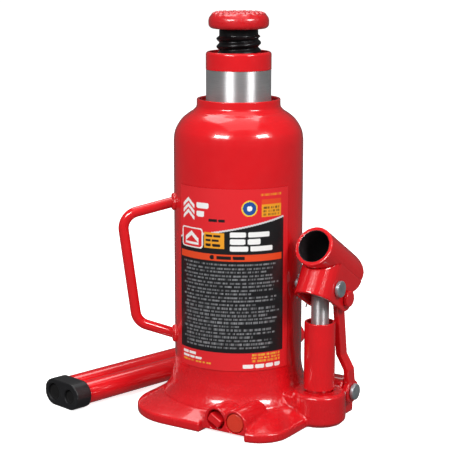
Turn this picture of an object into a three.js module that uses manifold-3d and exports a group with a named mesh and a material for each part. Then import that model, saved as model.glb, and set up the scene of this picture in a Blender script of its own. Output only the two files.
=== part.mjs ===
// Hydraulic bottle jack with its lever pump, carry handle and loose two-piece pump handle.
// Millimetres, +Z up. The origin is on the ground under the ram's axis. +X points to the pump,
// -Y to the release valve. The ram stands a little way out of the tank and the screw out of the ram.
import * as THREE from 'three';
import { mergeVertices } from 'three/addons/utils/BufferGeometryUtils.js';
import Module from 'manifold-3d';

const wasm = await Module();
wasm.setup();

// Clearances and tessellation
const GAP = 0.3; // left between pieces that touch
const OVERCUT = 1; // how far a cutting tool reaches past the face it opens
const WELD_TOLERANCE = 1e-4;
const ROUND_LARGE = 48;
const ROUND_MEDIUM = 28;
const ROUND_SMALL = 18;
const ROUND_TINY = 10;
const BASE_COLUMNS = 120; // points round each ring of the base's skin
const FAR = 40; // half-length of a tool that passes right through a small piece

// Base casting
const BASE_LEFT = -56;
const BASE_RIGHT = 63;
const BASE_HALF_DEPTH = 61.8;
const BASE_LEFT_CORNER = 36;
const BASE_RIGHT_CORNER = 21;
const BASE_EDGE = 6.2; // thickness of the flange at its lip
const BASE_EDGE_ROUND = 1;
const BASE_TOP = 22;
const BASE_CORNER_STEPS = 15;
const BASE_SHOULDER = [ // radius and height up the round part, from the slope's head to the tank
  [49.5, 11], [48.6, 12.7], [46.5, 13.5], [44.6, 15.2], [43.6, 18], [42, BASE_TOP],
];
const RECESS_LEFT = 9.5;
const RECESS_RIGHT = 43;
const RECESS_FACE_Y = -57;
const RECESS_LIFT = 1.8; // the edge between the front feet clears the ground by this much
const RECESS_DEPTH = 11;
const BRIDGE_SIDE = [[30, 0], [62, 0], [62, 17], [48, 18], [30, 21]]; // x and z, tank to pump boss
const BRIDGE_HALF = 14;

// Tank
const TANK_R = 42;
const TANK_WALL = 2.6;
const TANK_STRAIGHT_TOP = 176;
const NECK_R = 27;
const NECK_BORE_R = 25.2;
const NECK_TOP = 206;
const NECK_CHAMFER = 0.6;
const SHOULDER_OUTSIDE = [
  [41.8, 181.3], [40.6, 186.5], [37, 192.4], [32.5, 196.3], [29.6, 198.2], [27.3, 201],
];
const SHOULDER_INSIDE = [[25.2, 197.2], [30.6, 193.8], [35, 190.4], [38, 185.6], [39.2, 181]];
const FILLER_Z = 158;
const FILLER_HOLE_R = 5;
const FILLER_PROFILE = [
  [0, 38.2], [3.9, 38.2], [4.6, 39.4], [4.6, 42.5], [7.6, 42.5], [7, 44.8], [0, 45.4],
];

// Pressure cylinder inside the tank
const CYLINDER_BORE_R = 23;
const CYLINDER_R = 29;
const CYLINDER_SEAT = 17;
const GASKET_THICKNESS = 1.4;
const CYLINDER_TOP = 188;
const GLAND_R = 27.4;
const GLAND_SHOULDER = [194.4, 196];
const GLAND_TOP = 201;
const GLAND_BORE_R = 21.4;
const WIPER_LIP = 204.4;

// Ram and its piston
const RAM_R = 21;
const RAM_TOP = 236;
const RAM_BOTTOM = 53.3;
const RAM_CAVITY_R = 16.8;
const RAM_COLLAR_R = 14.8;
const RAM_COLLAR_BOTTOM = 212;
const RAM_MOUTH_R = 19.4;
const RAM_MOUTH_DEPTH = 6;
const PISTON_R = 22.6;
const PISTON_BOTTOM = 47;
const PISTON_STUB_R = 13;
const PISTON_STUB_BOTTOM = 40;
const PISTON_PLUG_R = 16.5;
const PISTON_PLUG_TOP = 70;
const CUP_SEAL_PROFILE = [[13.3, 42.6], [20.6, 42.6], [22.7, 41.6], [22.2, 46.7], [13.3, 46.7]];
const RETAINING_RING = [40.4, 42];
const RETAINING_RING_WIDTH = 3;

// Extension screw and saddle
const SCREW_MAJOR_R = 14.35;
const SCREW_ROOT_R = 12.65;
const SCREW_PITCH = 5;
const SCREW_THREAD_BOTTOM = 167.5;
const SCREW_THREAD_TURNS = 14;
const SCREW_BOTTOM = 143;
const SCREW_NECK_R = 11.6;
const SCREW_FOOT = 3; // thickness of the flange under the stop ring's groove
const SCREW_GROOVE = 8; // top of that groove above the screw's foot
const STOP_RING_THICKNESS = 4.2;
const SADDLE_R = 19.4;
const SADDLE_BOTTOM = 250.4;
const SADDLE_TOP = 262;
const SADDLE_PEG_R = 8;
const SADDLE_PEG_TOP = 255.5;
const SADDLE_RIM = [[19.4, 258], [18.6, 260.2], [16.4, 261.8], [15.4, 262]];
const SADDLE_GROOVE = 1.6; // depth
const SADDLE_GROOVE_HALF = 1.3;
const SADDLE_GROOVES = 8;
const SADDLE_CIRCLE = [10.4, 12.6];
const SADDLE_CENTRE_R = 5.5;

// Pump
const PUMP_X = 62;
const PUMP_BOSS_R = 17.4;
const PUMP_BOSS_TOP = 21;
const PUMP_R = 10;
const PUMP_TOP = 66.7;
const PUMP_BORE_R = 6.2;
const PUMP_SPIGOT_R = 8.5;
const PUMP_SPIGOT_BOTTOM = 9;
const PUMP_MOUTH_R = 8.2;
const PUMP_MOUTH_BOTTOM = 60;
const PLUNGER_R = 5.8;
const PLUNGER_BOTTOM = 24;
const PLUNGER_EYE_R = 5.6;
const PLUNGER_EYE_HALF = 4.3;
const PLUNGER_SLOT_R = 3.7;
const PLUNGER_SLOT_SHIFT = 0.6;
const PLUNGER_SEAL_GROOVE = [2, 5.4]; // above the plunger's foot
const PLUNGER_SEAL_R = 4.2;

// Lever, given by its three pins in the plane across the pump
const PLUNGER_PIN = { y: 0, z: 89.7 };
const LINK_PIN = { y: 11.5, z: 81 };
const LUG_PIN = { y: 21, z: 16.5 };
const LEVER_TILT = 31; // degrees the socket's mouth is raised
const PIN_R = 2.9;
const PIN_HOLE_R = PIN_R + GAP;
const PIN_HEAD_R = 5.3;
const PIN_HEAD = 2.6;
const PIN_TAIL = 4.6; // past the piece it holds, for the cotter
const COTTER_INSET = 2.2;
const COTTER_R = 0.8;
const COTTER_LEG = [[0, 0, -5.4], [0, 0, 0], [0, 0, 5], [-1.4, 0, 8], [-2.2, 0.4, 10.5]];
const SOCKET_R = 13;
const SOCKET_BORE_R = 10.3;
const SOCKET_MOUTH = -22.4;
const SOCKET_REAR_CENTRE = { y: 14.4, z: 18.2 };
const SOCKET_REAR_R = 14.4; // the rear end is cut round, seen from the side
const SOCKET_HEIGHT = 19;
const CHEEK_OUTER = 12.9;
const CHEEK_INNER = 10;
const BRACKET_BOTTOM = -10;
const BRACKET_FRONT_CENTRE = -4;
const BRACKET_REACH = 30; // the bracket's blank, before its sides are cut

// Links between the bracket and the lug
const LINK_THICKNESS = 4;
const LINK_UPPER = 4.7; // inner face beside the pump's middle, between the cheeks
const LINK_LOWER = 9.5; // inner face beside the lug
const LINK_HALF_WIDTH = 4.2;
const LINK_UPPER_END_R = 6.4;
const LINK_LOWER_END_R = 8.2;
const LINK_CRANK_TOP = 42;
const LINK_CRANK_BOTTOM = 32;
const LUG_R = 9.4;
const LUG_HALF = 9.1;

// Valves in the base
const RELEASE_X = 19.3;
const SAFETY_X = 33.4;
const VALVE_Z = 9;
const VALVE_BOSS_R = 8.6;
const PASSAGE_R = 1.6;
const CHAMBER_R = 3.6;
const CHAMBER_SEAT = 11;
const DISCHARGE_X = 12;
const SUCTION_X = 34.6;
const DRAIN_Y = -32.5;
const BALL_R = 3;
const CHECK_BALL_Z = 14.6;
const RELEASE_BORE = [ // radius and y, from the front face inwards
  [0, -62.8], [6.5, -62.8], [6.5, -48], [4.8, -48], [4.8, -33], [1.6, -30], [1.6, 0], [0, 0],
];
const SAFETY_BORE = [
  [0, -62.8], [6.5, -62.8], [6.5, -50], [4.2, -50], [4.2, -27], [1.6, -24.5], [1.6, 0], [0, 0],
];
const RELEASE_STEM = [
  [0, -51], [5.9, -51], [5.9, -48.4], [4.5, -48.2], [4.5, -40.4], [3.4, -40.4], [3.4, -38], [4.5, -38],
  [4.5, -36.5], [0, -36.5],
];
const RELEASE_TANG_HALF = [4.6, 2.7];
const RELEASE_TANG_Y = [-58.5, -50];
const RELEASE_TANG_TURN = 30;
const RELEASE_RING = [3.6, 4.7, -40.1, -38.3];
const RELEASE_BALL_Y = -33;
const SAFETY_PLUG = [
  [0, -56.4], [5.4, -56.4], [6.1, -55.8], [6.1, -50.5], [3.9, -50.3], [3.9, -46], [0, -46],
];
const SAFETY_BALL_Y = -27.5;
const SPRING = { radius: 2.6, length: 13, turns: 4, wire: 0.5, y: -45 };

// Carry handle
const ROD_R = 3.4;
const GRIP_ANGLE = 223; // degrees round the tank from +X
const GRIP_PATH = [
  [TANK_R - 3, 140.4],
  [76.6, 131.4],
  [67.4, 60.2],
  [TANK_R - 3, 50.1],
];
const GRIP_BEND = 13;

// Loose pump handle, two tubes held side by side by a cap
const HANDLE_CAP_AT = { x: -93.06, y: -65.11 };
const HANDLE_HEADING = 78; // degrees from +X
const HANDLE_DROP = 0.32; // degrees the tubes fall towards their free ends
const HANDLE_TUBE_R = 7.6;
const HANDLE_TUBE_BORE_R = 6.3;
const HANDLE_TUBE_LENGTH = 221.5;
const HANDLE_SPACING = 16.4;
const CAP_LENGTH = 12;
const CAP_WALL = 1.2;
const CAP_SOCKET = 8.6;
const CAP_WEB = 1.2; // left between the cap's outer holes and its tube sockets
const CAP_FRONT_HOLE_R = 4.8;
const CAP_REAR_HOLE_R = 5.75;

// Label wrapped on the tank
const LABEL_BOTTOM = 36;
const LABEL_TOP = 153.6;
const LABEL_FROM = -117; // degrees round the tank from +X
const LABEL_TO = -10;
const LABEL_THICKNESS = 0.25;

const FINISH = {
  red_paint: { color: 0xd81b22, roughness: 0.28, metalness: 0.0 },
  saddle_paint: { color: 0xc41a20, roughness: 0.4, metalness: 0.0 },
  plug_paint: { color: 0xe2391f, roughness: 0.4, metalness: 0.0 },
  ground_steel: { color: 0xb9bcbe, roughness: 0.3, metalness: 1.0 },
  turned_steel: { color: 0x8d9092, roughness: 0.4, metalness: 1.0 },
  oiled_steel: { color: 0x1d1d1f, roughness: 0.42, metalness: 0.8 },
  zinc_plate: { color: 0x9ba7ad, roughness: 0.35, metalness: 1.0 },
  spring_steel: { color: 0x6f7376, roughness: 0.35, metalness: 1.0 },
  copper: { color: 0xb87245, roughness: 0.4, metalness: 1.0 },
  black_rubber: { color: 0x1a1a1b, roughness: 0.8, metalness: 0.0 },
  urethane: { color: 0xb89a56, roughness: 0.55, metalness: 0.0 },
  black_plastic: { color: 0x323435, roughness: 0.5, metalness: 0.0 },
  label_vinyl: { color: 0x26272b, roughness: 0.3, metalness: 0.0 },
};

const radians = THREE.MathUtils.degToRad;

// Closed body from any three.js geometry, turned outwards if it was wound inwards.
function solidOf(geometry) {
  geometry.deleteAttribute('normal');
  geometry.deleteAttribute('uv');
  const welded = mergeVertices(geometry, WELD_TOLERANCE);
  const positions = new Float32Array(welded.getAttribute('position').array);
  const source = welded.getIndex().array;
  const corners = [0, 1, 2].map(() => new THREE.Vector3());
  const kept = [];
  let volume = 0;
  for (let i = 0; i < source.length; i += 3) {
    const [a, b, c] = [source[i], source[i + 1], source[i + 2]];
    if (a === b || b === c || c === a) {
      continue;
    }
    [a, b, c].forEach((vertex, k) => corners[k].fromArray(positions, vertex * 3));
    volume += corners[0].dot(corners[1].cross(corners[2]));
    kept.push(a, b, c);
  }
  if (volume < 0) {
    kept.reverse();
  }
  const mesh = new wasm.Mesh({ numProp: 3, vertProperties: positions, triVerts: new Uint32Array(kept) });
  return new wasm.Manifold(mesh);
}

// Body of revolution about Z from [radius, height] pairs, closed on the axis or on themselves.
function turned(profile, segments = ROUND_MEDIUM) {
  const points = profile.map(([r, z]) => new THREE.Vector2(r, z));
  const onAxis = profile[0][0] === 0 && profile[profile.length - 1][0] === 0;
  if (!onAxis) {
    points.push(points[0].clone());
  }
  const lathe = new THREE.LatheGeometry(points, segments);
  lathe.rotateX(Math.PI / 2);
  return solidOf(lathe);
}

function rod(radius, bottom, top, segments = ROUND_MEDIUM) {
  return turned([[0, bottom], [radius, bottom], [radius, top], [0, top]], segments);
}

function ring(inner, outer, bottom, top, segments = ROUND_MEDIUM) {
  return turned([[inner, bottom], [outer, bottom], [outer, top], [inner, top]], segments);
}

const alongX = (solid) => solid.rotate([0, 90, 0]);
const alongY = (solid) => solid.rotate([-90, 0, 0]);

function block(x, y, z) {
  const box = new THREE.BoxGeometry(x[1] - x[0], y[1] - y[0], z[1] - z[0]);
  box.translate((x[0] + x[1]) / 2, (y[0] + y[1]) / 2, (z[0] + z[1]) / 2);
  return solidOf(box);
}

// Flat outline raised along Z.
function raised(points, bottom, top) {
  const outline = new THREE.Shape(points.map(([x, y]) => new THREE.Vector2(x, y)));
  const plate = new THREE.ExtrudeGeometry(outline, { depth: top - bottom, bevelEnabled: false });
  plate.translate(0, 0, bottom);
  return solidOf(plate);
}

// Outline given as [y, z] pairs, run along X.
function sideways(points, left, right) {
  return raised(points, left, right).rotate([90, 0, 90]);
}

// Outline given as [x, z] pairs, run along Y.
function frontways(points, front, back) {
  return raised(points, -back, -front).rotate([90, 0, 0]);
}

// Round bar along a curve.
function bar(curve, radius, steps, sides) {
  const section = new THREE.Shape();
  section.absarc(0, 0, radius, 0, Math.PI * 2);
  const points = section.getSpacedPoints(sides).slice(0, sides);
  const options = { steps, extrudePath: curve, bevelEnabled: false };
  return solidOf(new THREE.ExtrudeGeometry(new THREE.Shape(points), options));
}

// Skin over rings of equal point count, with its first and last ring closed.
function lofted(rings) {
  const count = rings[0].length;
  const positions = [];
  const faces = [];
  rings.forEach((points) => points.forEach((point) => positions.push(...point)));
  for (let level = 0; level < rings.length - 1; level += 1) {
    for (let i = 0; i < count; i += 1) {
      const a = level * count + i;
      const b = level * count + ((i + 1) % count);
      faces.push(a, b, b + count, a, b + count, a + count);
    }
  }
  const centres = [0, rings.length - 1];
  centres.forEach((level, cap) => {
    positions.push(0, 0, rings[level][0][2]);
    const centre = rings.length * count + cap;
    for (let i = 0; i < count; i += 1) {
      const a = level * count + i;
      const b = level * count + ((i + 1) % count);
      faces.push(...(cap === 0 ? [centre, b, a] : [centre, a, b]));
    }
  });
  const skin = new THREE.BufferGeometry();
  skin.setAttribute('position', new THREE.Float32BufferAttribute(positions, 3));
  skin.setIndex(faces);
  return solidOf(skin);
}

function arcPoints(centre, radius, from, to, count) {
  return Array.from({ length: count }, (_, i) => {
    const angle = radians(from + ((to - from) * i) / (count - 1));
    return [centre[0] + radius * Math.cos(angle), centre[1] + radius * Math.sin(angle)];
  });
}

// Distance from the axis to the flange's edge in one direction.
function flangeReach(angle, outline) {
  const direction = [Math.cos(angle), Math.sin(angle)];
  let reach = 0;
  outline.forEach((a, i) => {
    const b = outline[(i + 1) % outline.length];
    const edge = [b[0] - a[0], b[1] - a[1]];
    const cross = direction[0] * edge[1] - direction[1] * edge[0];
    const along = (a[0] * edge[1] - a[1] * edge[0]) / cross;
    const share = (a[0] * direction[1] - a[1] * direction[0]) / cross;
    if (along > 0 && share >= 0 && share <= 1) {
      reach = Math.max(reach, along);
    }
  });
  return reach;
}

function baseOutline() {
  const steps = BASE_CORNER_STEPS;
  const left = BASE_LEFT + BASE_LEFT_CORNER;
  const right = BASE_RIGHT - BASE_RIGHT_CORNER;
  const leftDepth = BASE_HALF_DEPTH - BASE_LEFT_CORNER;
  const rightDepth = BASE_HALF_DEPTH - BASE_RIGHT_CORNER;
  return [
    ...arcPoints([right, -rightDepth], BASE_RIGHT_CORNER, -90, 0, steps),
    ...arcPoints([right, rightDepth], BASE_RIGHT_CORNER, 0, 90, steps),
    ...arcPoints([left, leftDepth], BASE_LEFT_CORNER, 90, 180, steps),
    ...arcPoints([left, -leftDepth], BASE_LEFT_CORNER, 180, 270, steps),
  ];
}

function baseBody() {
  const outline = baseOutline();
  const angles = Array.from({ length: BASE_COLUMNS }, (_, i) => (i / BASE_COLUMNS) * Math.PI * 2);
  const edgeRing = (inset, z) => angles.map((angle) => {
    const reach = flangeReach(angle, outline) - inset;
    return [reach * Math.cos(angle), reach * Math.sin(angle), z];
  });
  const roundRing = (radius, z) => angles.map((angle) => (
    [radius * Math.cos(angle), radius * Math.sin(angle), z]
  ));
  return lofted([
    edgeRing(BASE_EDGE_ROUND, 0),
    edgeRing(0, BASE_EDGE_ROUND),
    edgeRing(0, BASE_EDGE - BASE_EDGE_ROUND),
    edgeRing(BASE_EDGE_ROUND, BASE_EDGE),
    ...BASE_SHOULDER.map(([radius, z]) => roundRing(radius, z)),
  ]);
}

// Passages drilled in the base for the pump, the two check valves and the two screwed valves.
function basePassages() {
  const stepped = (x, profile) => alongY(turned(profile, ROUND_SMALL)).translate([x, 0, VALVE_Z]);
  const releaseBore = stepped(RELEASE_X, RELEASE_BORE);
  const safetyBore = stepped(SAFETY_X, SAFETY_BORE);
  const gallery = alongX(rod(PASSAGE_R, -2, PUMP_X, ROUND_TINY)).translate([0, 0, VALVE_Z]);
  const chamber = (x) => turned([
    [0, VALVE_Z], [PASSAGE_R, VALVE_Z], [PASSAGE_R, CHAMBER_SEAT], [CHAMBER_R, CHAMBER_SEAT + 1],
    [CHAMBER_R, BASE_TOP + OVERCUT], [0, BASE_TOP + OVERCUT],
  ], ROUND_TINY).translate([x, 0, 0]);
  const drain = rod(PASSAGE_R, VALVE_Z, BASE_TOP + OVERCUT, ROUND_TINY).translate([RELEASE_X, DRAIN_Y, 0]);
  const pumpBore = turned([
    [0, VALVE_Z - 2], [PUMP_BORE_R, VALVE_Z - 2], [PUMP_SPIGOT_R + GAP, PUMP_SPIGOT_BOTTOM - GAP],
    [PUMP_SPIGOT_R + GAP, BASE_TOP + OVERCUT], [0, BASE_TOP + OVERCUT],
  ], ROUND_SMALL).translate([PUMP_X, 0, 0]);
  return [releaseBore, safetyBore, gallery, chamber(DISCHARGE_X), chamber(SUCTION_X), drain, pumpBore];
}

function base() {
  const boss = turned([
    [0, 0], [PUMP_BOSS_R - 2.5, 0], [PUMP_BOSS_R, 2.5], [PUMP_BOSS_R, PUMP_BOSS_TOP - 1.5],
    [PUMP_BOSS_R - 1.5, PUMP_BOSS_TOP], [0, PUMP_BOSS_TOP],
  ]).translate([PUMP_X, 0, 0]);
  const bridge = frontways(BRIDGE_SIDE, -BRIDGE_HALF, BRIDGE_HALF);
  const lugProfile = [
    [LUG_PIN.y - LUG_R, 0], [LUG_PIN.y + LUG_R, 0],
    ...arcPoints([LUG_PIN.y, LUG_PIN.z], LUG_R, 0, 180, 9),
  ];
  const lug = sideways(lugProfile, PUMP_X - LUG_HALF, PUMP_X + LUG_HALF);
  const valveBoss = (x) => {
    const barrel = alongY(rod(VALVE_BOSS_R, RECESS_FACE_Y, -30, ROUND_SMALL)).translate([x, 0, VALVE_Z]);
    const foot = block([x - VALVE_BOSS_R, x + VALVE_BOSS_R], [RECESS_FACE_Y, -30], [RECESS_LIFT, VALVE_Z]);
    return barrel.add(foot);
  };
  const front = -BASE_HALF_DEPTH - OVERCUT;
  const width = [RECESS_LEFT, RECESS_RIGHT];
  const recess = block(width, [front, RECESS_FACE_Y], [-OVERCUT, BASE_TOP]);
  const lift = block(width, [front, RECESS_FACE_Y + RECESS_DEPTH], [-OVERCUT, RECESS_LIFT]);
  const linkPocket = (side) => {
    const near = LINK_LOWER - 0.3;
    const far = LINK_LOWER + LINK_THICKNESS + 0.7;
    const x = [PUMP_X + side * near, PUMP_X + side * far].sort((a, b) => a - b);
    return block(x, [LUG_PIN.y - 10, LUG_PIN.y + 20], [5, 40]);
  };
  const cylinderSeat = rod(CYLINDER_R + GAP, CYLINDER_SEAT, BASE_TOP + OVERCUT, ROUND_MEDIUM);
  const lugHole = alongX(rod(PIN_HOLE_R, -LUG_HALF - OVERCUT, LUG_HALF + OVERCUT, ROUND_TINY))
    .translate([PUMP_X, LUG_PIN.y, LUG_PIN.z]);
  let solid = baseBody().add(boss).add(bridge).add(valveBoss(RELEASE_X)).add(valveBoss(SAFETY_X));
  solid = solid.subtract(recess).subtract(lift).subtract(linkPocket(1)).subtract(linkPocket(-1));
  solid = solid.add(lug).subtract(cylinderSeat).subtract(lugHole);
  basePassages().forEach((passage) => {
    solid = solid.subtract(passage);
  });
  return solid;
}

function tankShell() {
  const outer = [
    [TANK_R, BASE_TOP + GAP], [TANK_R, TANK_STRAIGHT_TOP], ...SHOULDER_OUTSIDE, [NECK_R, NECK_TOP - 3],
    [NECK_R, NECK_TOP - NECK_CHAMFER], [NECK_R - NECK_CHAMFER, NECK_TOP],
  ];
  const inner = [
    [NECK_BORE_R, NECK_TOP], ...SHOULDER_INSIDE, [TANK_R - TANK_WALL, TANK_STRAIGHT_TOP],
    [TANK_R - TANK_WALL, BASE_TOP + GAP],
  ];
  const fillerHole = alongY(rod(FILLER_HOLE_R, TANK_R - FAR / 4, TANK_R + FAR / 4, ROUND_SMALL))
    .translate([0, 0, FILLER_Z]);
  return turned([...outer, ...inner], ROUND_LARGE).subtract(fillerHole);
}

function fillerPlug() {
  return alongY(turned(FILLER_PROFILE, ROUND_SMALL)).translate([0, 0, FILLER_Z]);
}

function innerCylinder() {
  const bottom = CYLINDER_SEAT + GASKET_THICKNESS + 2 * GAP;
  return ring(CYLINDER_BORE_R, CYLINDER_R, bottom, CYLINDER_TOP, ROUND_LARGE);
}

function cylinderGasket() {
  const bottom = CYLINDER_SEAT + GAP;
  return ring(CYLINDER_BORE_R + 0.4, CYLINDER_R - 0.2, bottom, bottom + GASKET_THICKNESS);
}

function cylinderGland() {
  return turned([
    [GLAND_BORE_R, CYLINDER_TOP + GAP], [GLAND_R, CYLINDER_TOP + GAP], [GLAND_R, GLAND_SHOULDER[0]],
    [NECK_BORE_R - GAP, GLAND_SHOULDER[1]], [NECK_BORE_R - GAP, GLAND_TOP], [GLAND_BORE_R, GLAND_TOP],
  ], ROUND_LARGE);
}

function ramWiperSeal() {
  return turned([
    [RAM_R + GAP, GLAND_TOP + GAP], [NECK_BORE_R - GAP, GLAND_TOP + GAP],
    [NECK_BORE_R - GAP, WIPER_LIP - 1.8],
    [RAM_R + 1.6, WIPER_LIP - 1.4], [RAM_R + GAP, WIPER_LIP],
  ], ROUND_LARGE);
}

function gripCurve() {
  const corners = GRIP_PATH.map(([reach, z]) => new THREE.Vector3(reach, 0, z));
  const path = new THREE.CurvePath();
  let from = corners[0];
  for (let i = 1; i < corners.length - 1; i += 1) {
    const into = corners[i].clone().sub(corners[i - 1]).setLength(GRIP_BEND);
    const out = corners[i + 1].clone().sub(corners[i]).setLength(GRIP_BEND);
    const bendStart = corners[i].clone().sub(into);
    const bendEnd = corners[i].clone().add(out);
    path.add(new THREE.LineCurve3(from, bendStart));
    path.add(new THREE.QuadraticBezierCurve3(bendStart, corners[i], bendEnd));
    from = bendEnd;
  }
  path.add(new THREE.LineCurve3(from, corners[corners.length - 1]));
  return path;
}

function carryHandle() {
  const cut = rod(TANK_R + GAP, 30, 160, ROUND_LARGE);
  return bar(gripCurve(), ROD_R, 26, 10).rotate([0, 0, GRIP_ANGLE]).subtract(cut);
}

function tankLabel() {
  const inner = TANK_R + GAP;
  const outer = inner + LABEL_THICKNESS;
  const points = [
    ...arcPoints([0, 0], outer, LABEL_FROM, LABEL_TO, 25),
    ...arcPoints([0, 0], inner, LABEL_TO, LABEL_FROM, 25),
  ];
  return raised(points, LABEL_BOTTOM, LABEL_TOP);
}

function ram() {
  return turned([
    [RAM_CAVITY_R, RAM_BOTTOM], [RAM_R, RAM_BOTTOM], [RAM_R, RAM_TOP - 0.8], [RAM_R - 0.8, RAM_TOP],
    [RAM_MOUTH_R, RAM_TOP], [RAM_MOUTH_R, RAM_TOP - RAM_MOUTH_DEPTH],
    [RAM_COLLAR_R, RAM_TOP - RAM_MOUTH_DEPTH - 1], [RAM_COLLAR_R, RAM_COLLAR_BOTTOM],
    [RAM_CAVITY_R, RAM_COLLAR_BOTTOM],
  ], ROUND_LARGE);
}

function ramPiston() {
  return turned([
    [0, PISTON_STUB_BOTTOM], [PISTON_STUB_R, PISTON_STUB_BOTTOM], [PISTON_STUB_R, PISTON_BOTTOM],
    [PISTON_R, PISTON_BOTTOM], [PISTON_R, RAM_BOTTOM - GAP], [PISTON_PLUG_R, RAM_BOTTOM - GAP],
    [PISTON_PLUG_R, PISTON_PLUG_TOP], [0, PISTON_PLUG_TOP],
  ], ROUND_LARGE);
}

function pistonCupSeal() {
  return turned(CUP_SEAL_PROFILE);
}

function pistonRetainingRing() {
  return ring(PISTON_STUB_R + GAP, PISTON_STUB_R + RETAINING_RING_WIDTH, ...RETAINING_RING);
}

function extensionScrew() {
  const profile = [
    [0, SCREW_BOTTOM], [SCREW_ROOT_R, SCREW_BOTTOM], [SCREW_ROOT_R, SCREW_BOTTOM + SCREW_FOOT],
    [SCREW_NECK_R, SCREW_BOTTOM + SCREW_FOOT], [SCREW_NECK_R, SCREW_BOTTOM + SCREW_GROOVE],
    [SCREW_ROOT_R, SCREW_BOTTOM + SCREW_GROOVE],
  ];
  for (let turn = 0; turn < SCREW_THREAD_TURNS; turn += 1) {
    const z = SCREW_THREAD_BOTTOM + turn * SCREW_PITCH;
    profile.push([SCREW_ROOT_R, z], [SCREW_MAJOR_R, z + SCREW_PITCH * 0.35]);
    profile.push([SCREW_MAJOR_R, z + SCREW_PITCH * 0.65]);
  }
  const threadTop = SCREW_THREAD_BOTTOM + SCREW_THREAD_TURNS * SCREW_PITCH;
  profile.push([SCREW_ROOT_R, threadTop], [SCREW_MAJOR_R, threadTop + 1.5]);
  profile.push([SCREW_MAJOR_R, SADDLE_BOTTOM - GAP], [SADDLE_PEG_R, SADDLE_BOTTOM - GAP]);
  profile.push([SADDLE_PEG_R, SADDLE_PEG_TOP], [0, SADDLE_PEG_TOP]);
  return turned(profile, ROUND_SMALL);
}

function screwStopRing() {
  const bottom = SCREW_BOTTOM + SCREW_FOOT + GAP;
  return ring(SCREW_NECK_R + GAP, RAM_CAVITY_R - GAP, bottom, bottom + STOP_RING_THICKNESS);
}

function saddle() {
  const head = turned([
    [0, SADDLE_PEG_TOP + GAP], [SADDLE_PEG_R + GAP, SADDLE_PEG_TOP + GAP],
    [SADDLE_PEG_R + GAP, SADDLE_BOTTOM],
    [SADDLE_R - 1.2, SADDLE_BOTTOM], [SADDLE_R, SADDLE_BOTTOM + 1.2], ...SADDLE_RIM, [0, SADDLE_TOP],
  ], ROUND_MEDIUM + 4);
  const depths = [SADDLE_TOP - SADDLE_GROOVE, SADDLE_TOP + OVERCUT];
  let cuts = ring(...SADDLE_CIRCLE, ...depths);
  for (let i = 0; i < SADDLE_GROOVES / 2; i += 1) {
    const channel = block([-SADDLE_R, SADDLE_R], [-SADDLE_GROOVE_HALF, SADDLE_GROOVE_HALF], depths);
    cuts = cuts.add(channel.rotate([0, 0, (i * 360) / SADDLE_GROOVES]));
  }
  const centre = rod(SADDLE_CENTRE_R, SADDLE_PEG_TOP, SADDLE_TOP + 2 * OVERCUT, ROUND_SMALL);
  return head.subtract(cuts.subtract(centre));
}

function pumpCylinder() {
  return turned([
    [PUMP_BORE_R, PUMP_SPIGOT_BOTTOM], [PUMP_SPIGOT_R, PUMP_SPIGOT_BOTTOM], [PUMP_SPIGOT_R, BASE_TOP + GAP],
    [PUMP_R, BASE_TOP + GAP], [PUMP_R, PUMP_TOP - 1.2], [PUMP_R - 1.2, PUMP_TOP], [PUMP_MOUTH_R, PUMP_TOP],
    [PUMP_MOUTH_R, PUMP_MOUTH_BOTTOM], [PUMP_BORE_R, PUMP_MOUTH_BOTTOM],
  ]).translate([PUMP_X, 0, 0]);
}

function pumpWiperSeal() {
  const bottom = PUMP_MOUTH_BOTTOM + GAP;
  return ring(PLUNGER_R + GAP, PUMP_MOUTH_R - GAP, bottom, bottom + 3, ROUND_SMALL).translate([PUMP_X, 0, 0]);
}

function pumpPlunger() {
  const [grooveFrom, grooveTo] = PLUNGER_SEAL_GROOVE.map((above) => PLUNGER_BOTTOM + above);
  const shaft = turned([
    [0, PLUNGER_BOTTOM], [PLUNGER_R - 0.4, PLUNGER_BOTTOM], [PLUNGER_R - 0.4, grooveFrom],
    [PLUNGER_SEAL_R, grooveFrom], [PLUNGER_SEAL_R, grooveTo], [PLUNGER_R, grooveTo],
    [PLUNGER_R, PLUNGER_PIN.z - 6], [4, PLUNGER_PIN.z - 4], [0, PLUNGER_PIN.z - 4],
  ], ROUND_SMALL);
  const centre = [PLUNGER_PIN.y, PLUNGER_PIN.z];
  const eye = sideways(arcPoints(centre, PLUNGER_EYE_R, 0, 340, 18), -PLUNGER_EYE_HALF, PLUNGER_EYE_HALF);
  const slot = sideways([
    ...arcPoints([centre[0] + PLUNGER_SLOT_SHIFT, centre[1]], PLUNGER_SLOT_R, -90, 90, 7),
    ...arcPoints([centre[0] - PLUNGER_SLOT_SHIFT, centre[1]], PLUNGER_SLOT_R, 90, 270, 7),
  ], -FAR, FAR);
  return shaft.add(eye).subtract(slot).translate([PUMP_X, 0, 0]);
}

function plungerSeal() {
  const [from, to] = PLUNGER_SEAL_GROOVE;
  const bottom = PLUNGER_BOTTOM + from + GAP;
  return ring(PLUNGER_SEAL_R + GAP, PLUNGER_R + 0.2, bottom, PLUNGER_BOTTOM + to - GAP, ROUND_SMALL)
    .translate([PUMP_X, 0, 0]);
}

// From the lever's own frame, level and centred on the plunger pin, to where it stands.
function onLever(solid) {
  return solid.rotate([-LEVER_TILT, 0, 0]).translate([PUMP_X, PLUNGER_PIN.y, PLUNGER_PIN.z]);
}

function linkPinOnLever() {
  const tilt = radians(LEVER_TILT);
  const [dy, dz] = [LINK_PIN.y - PLUNGER_PIN.y, LINK_PIN.z - PLUNGER_PIN.z];
  return [dy * Math.cos(tilt) - dz * Math.sin(tilt), dy * Math.sin(tilt) + dz * Math.cos(tilt)];
}

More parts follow.
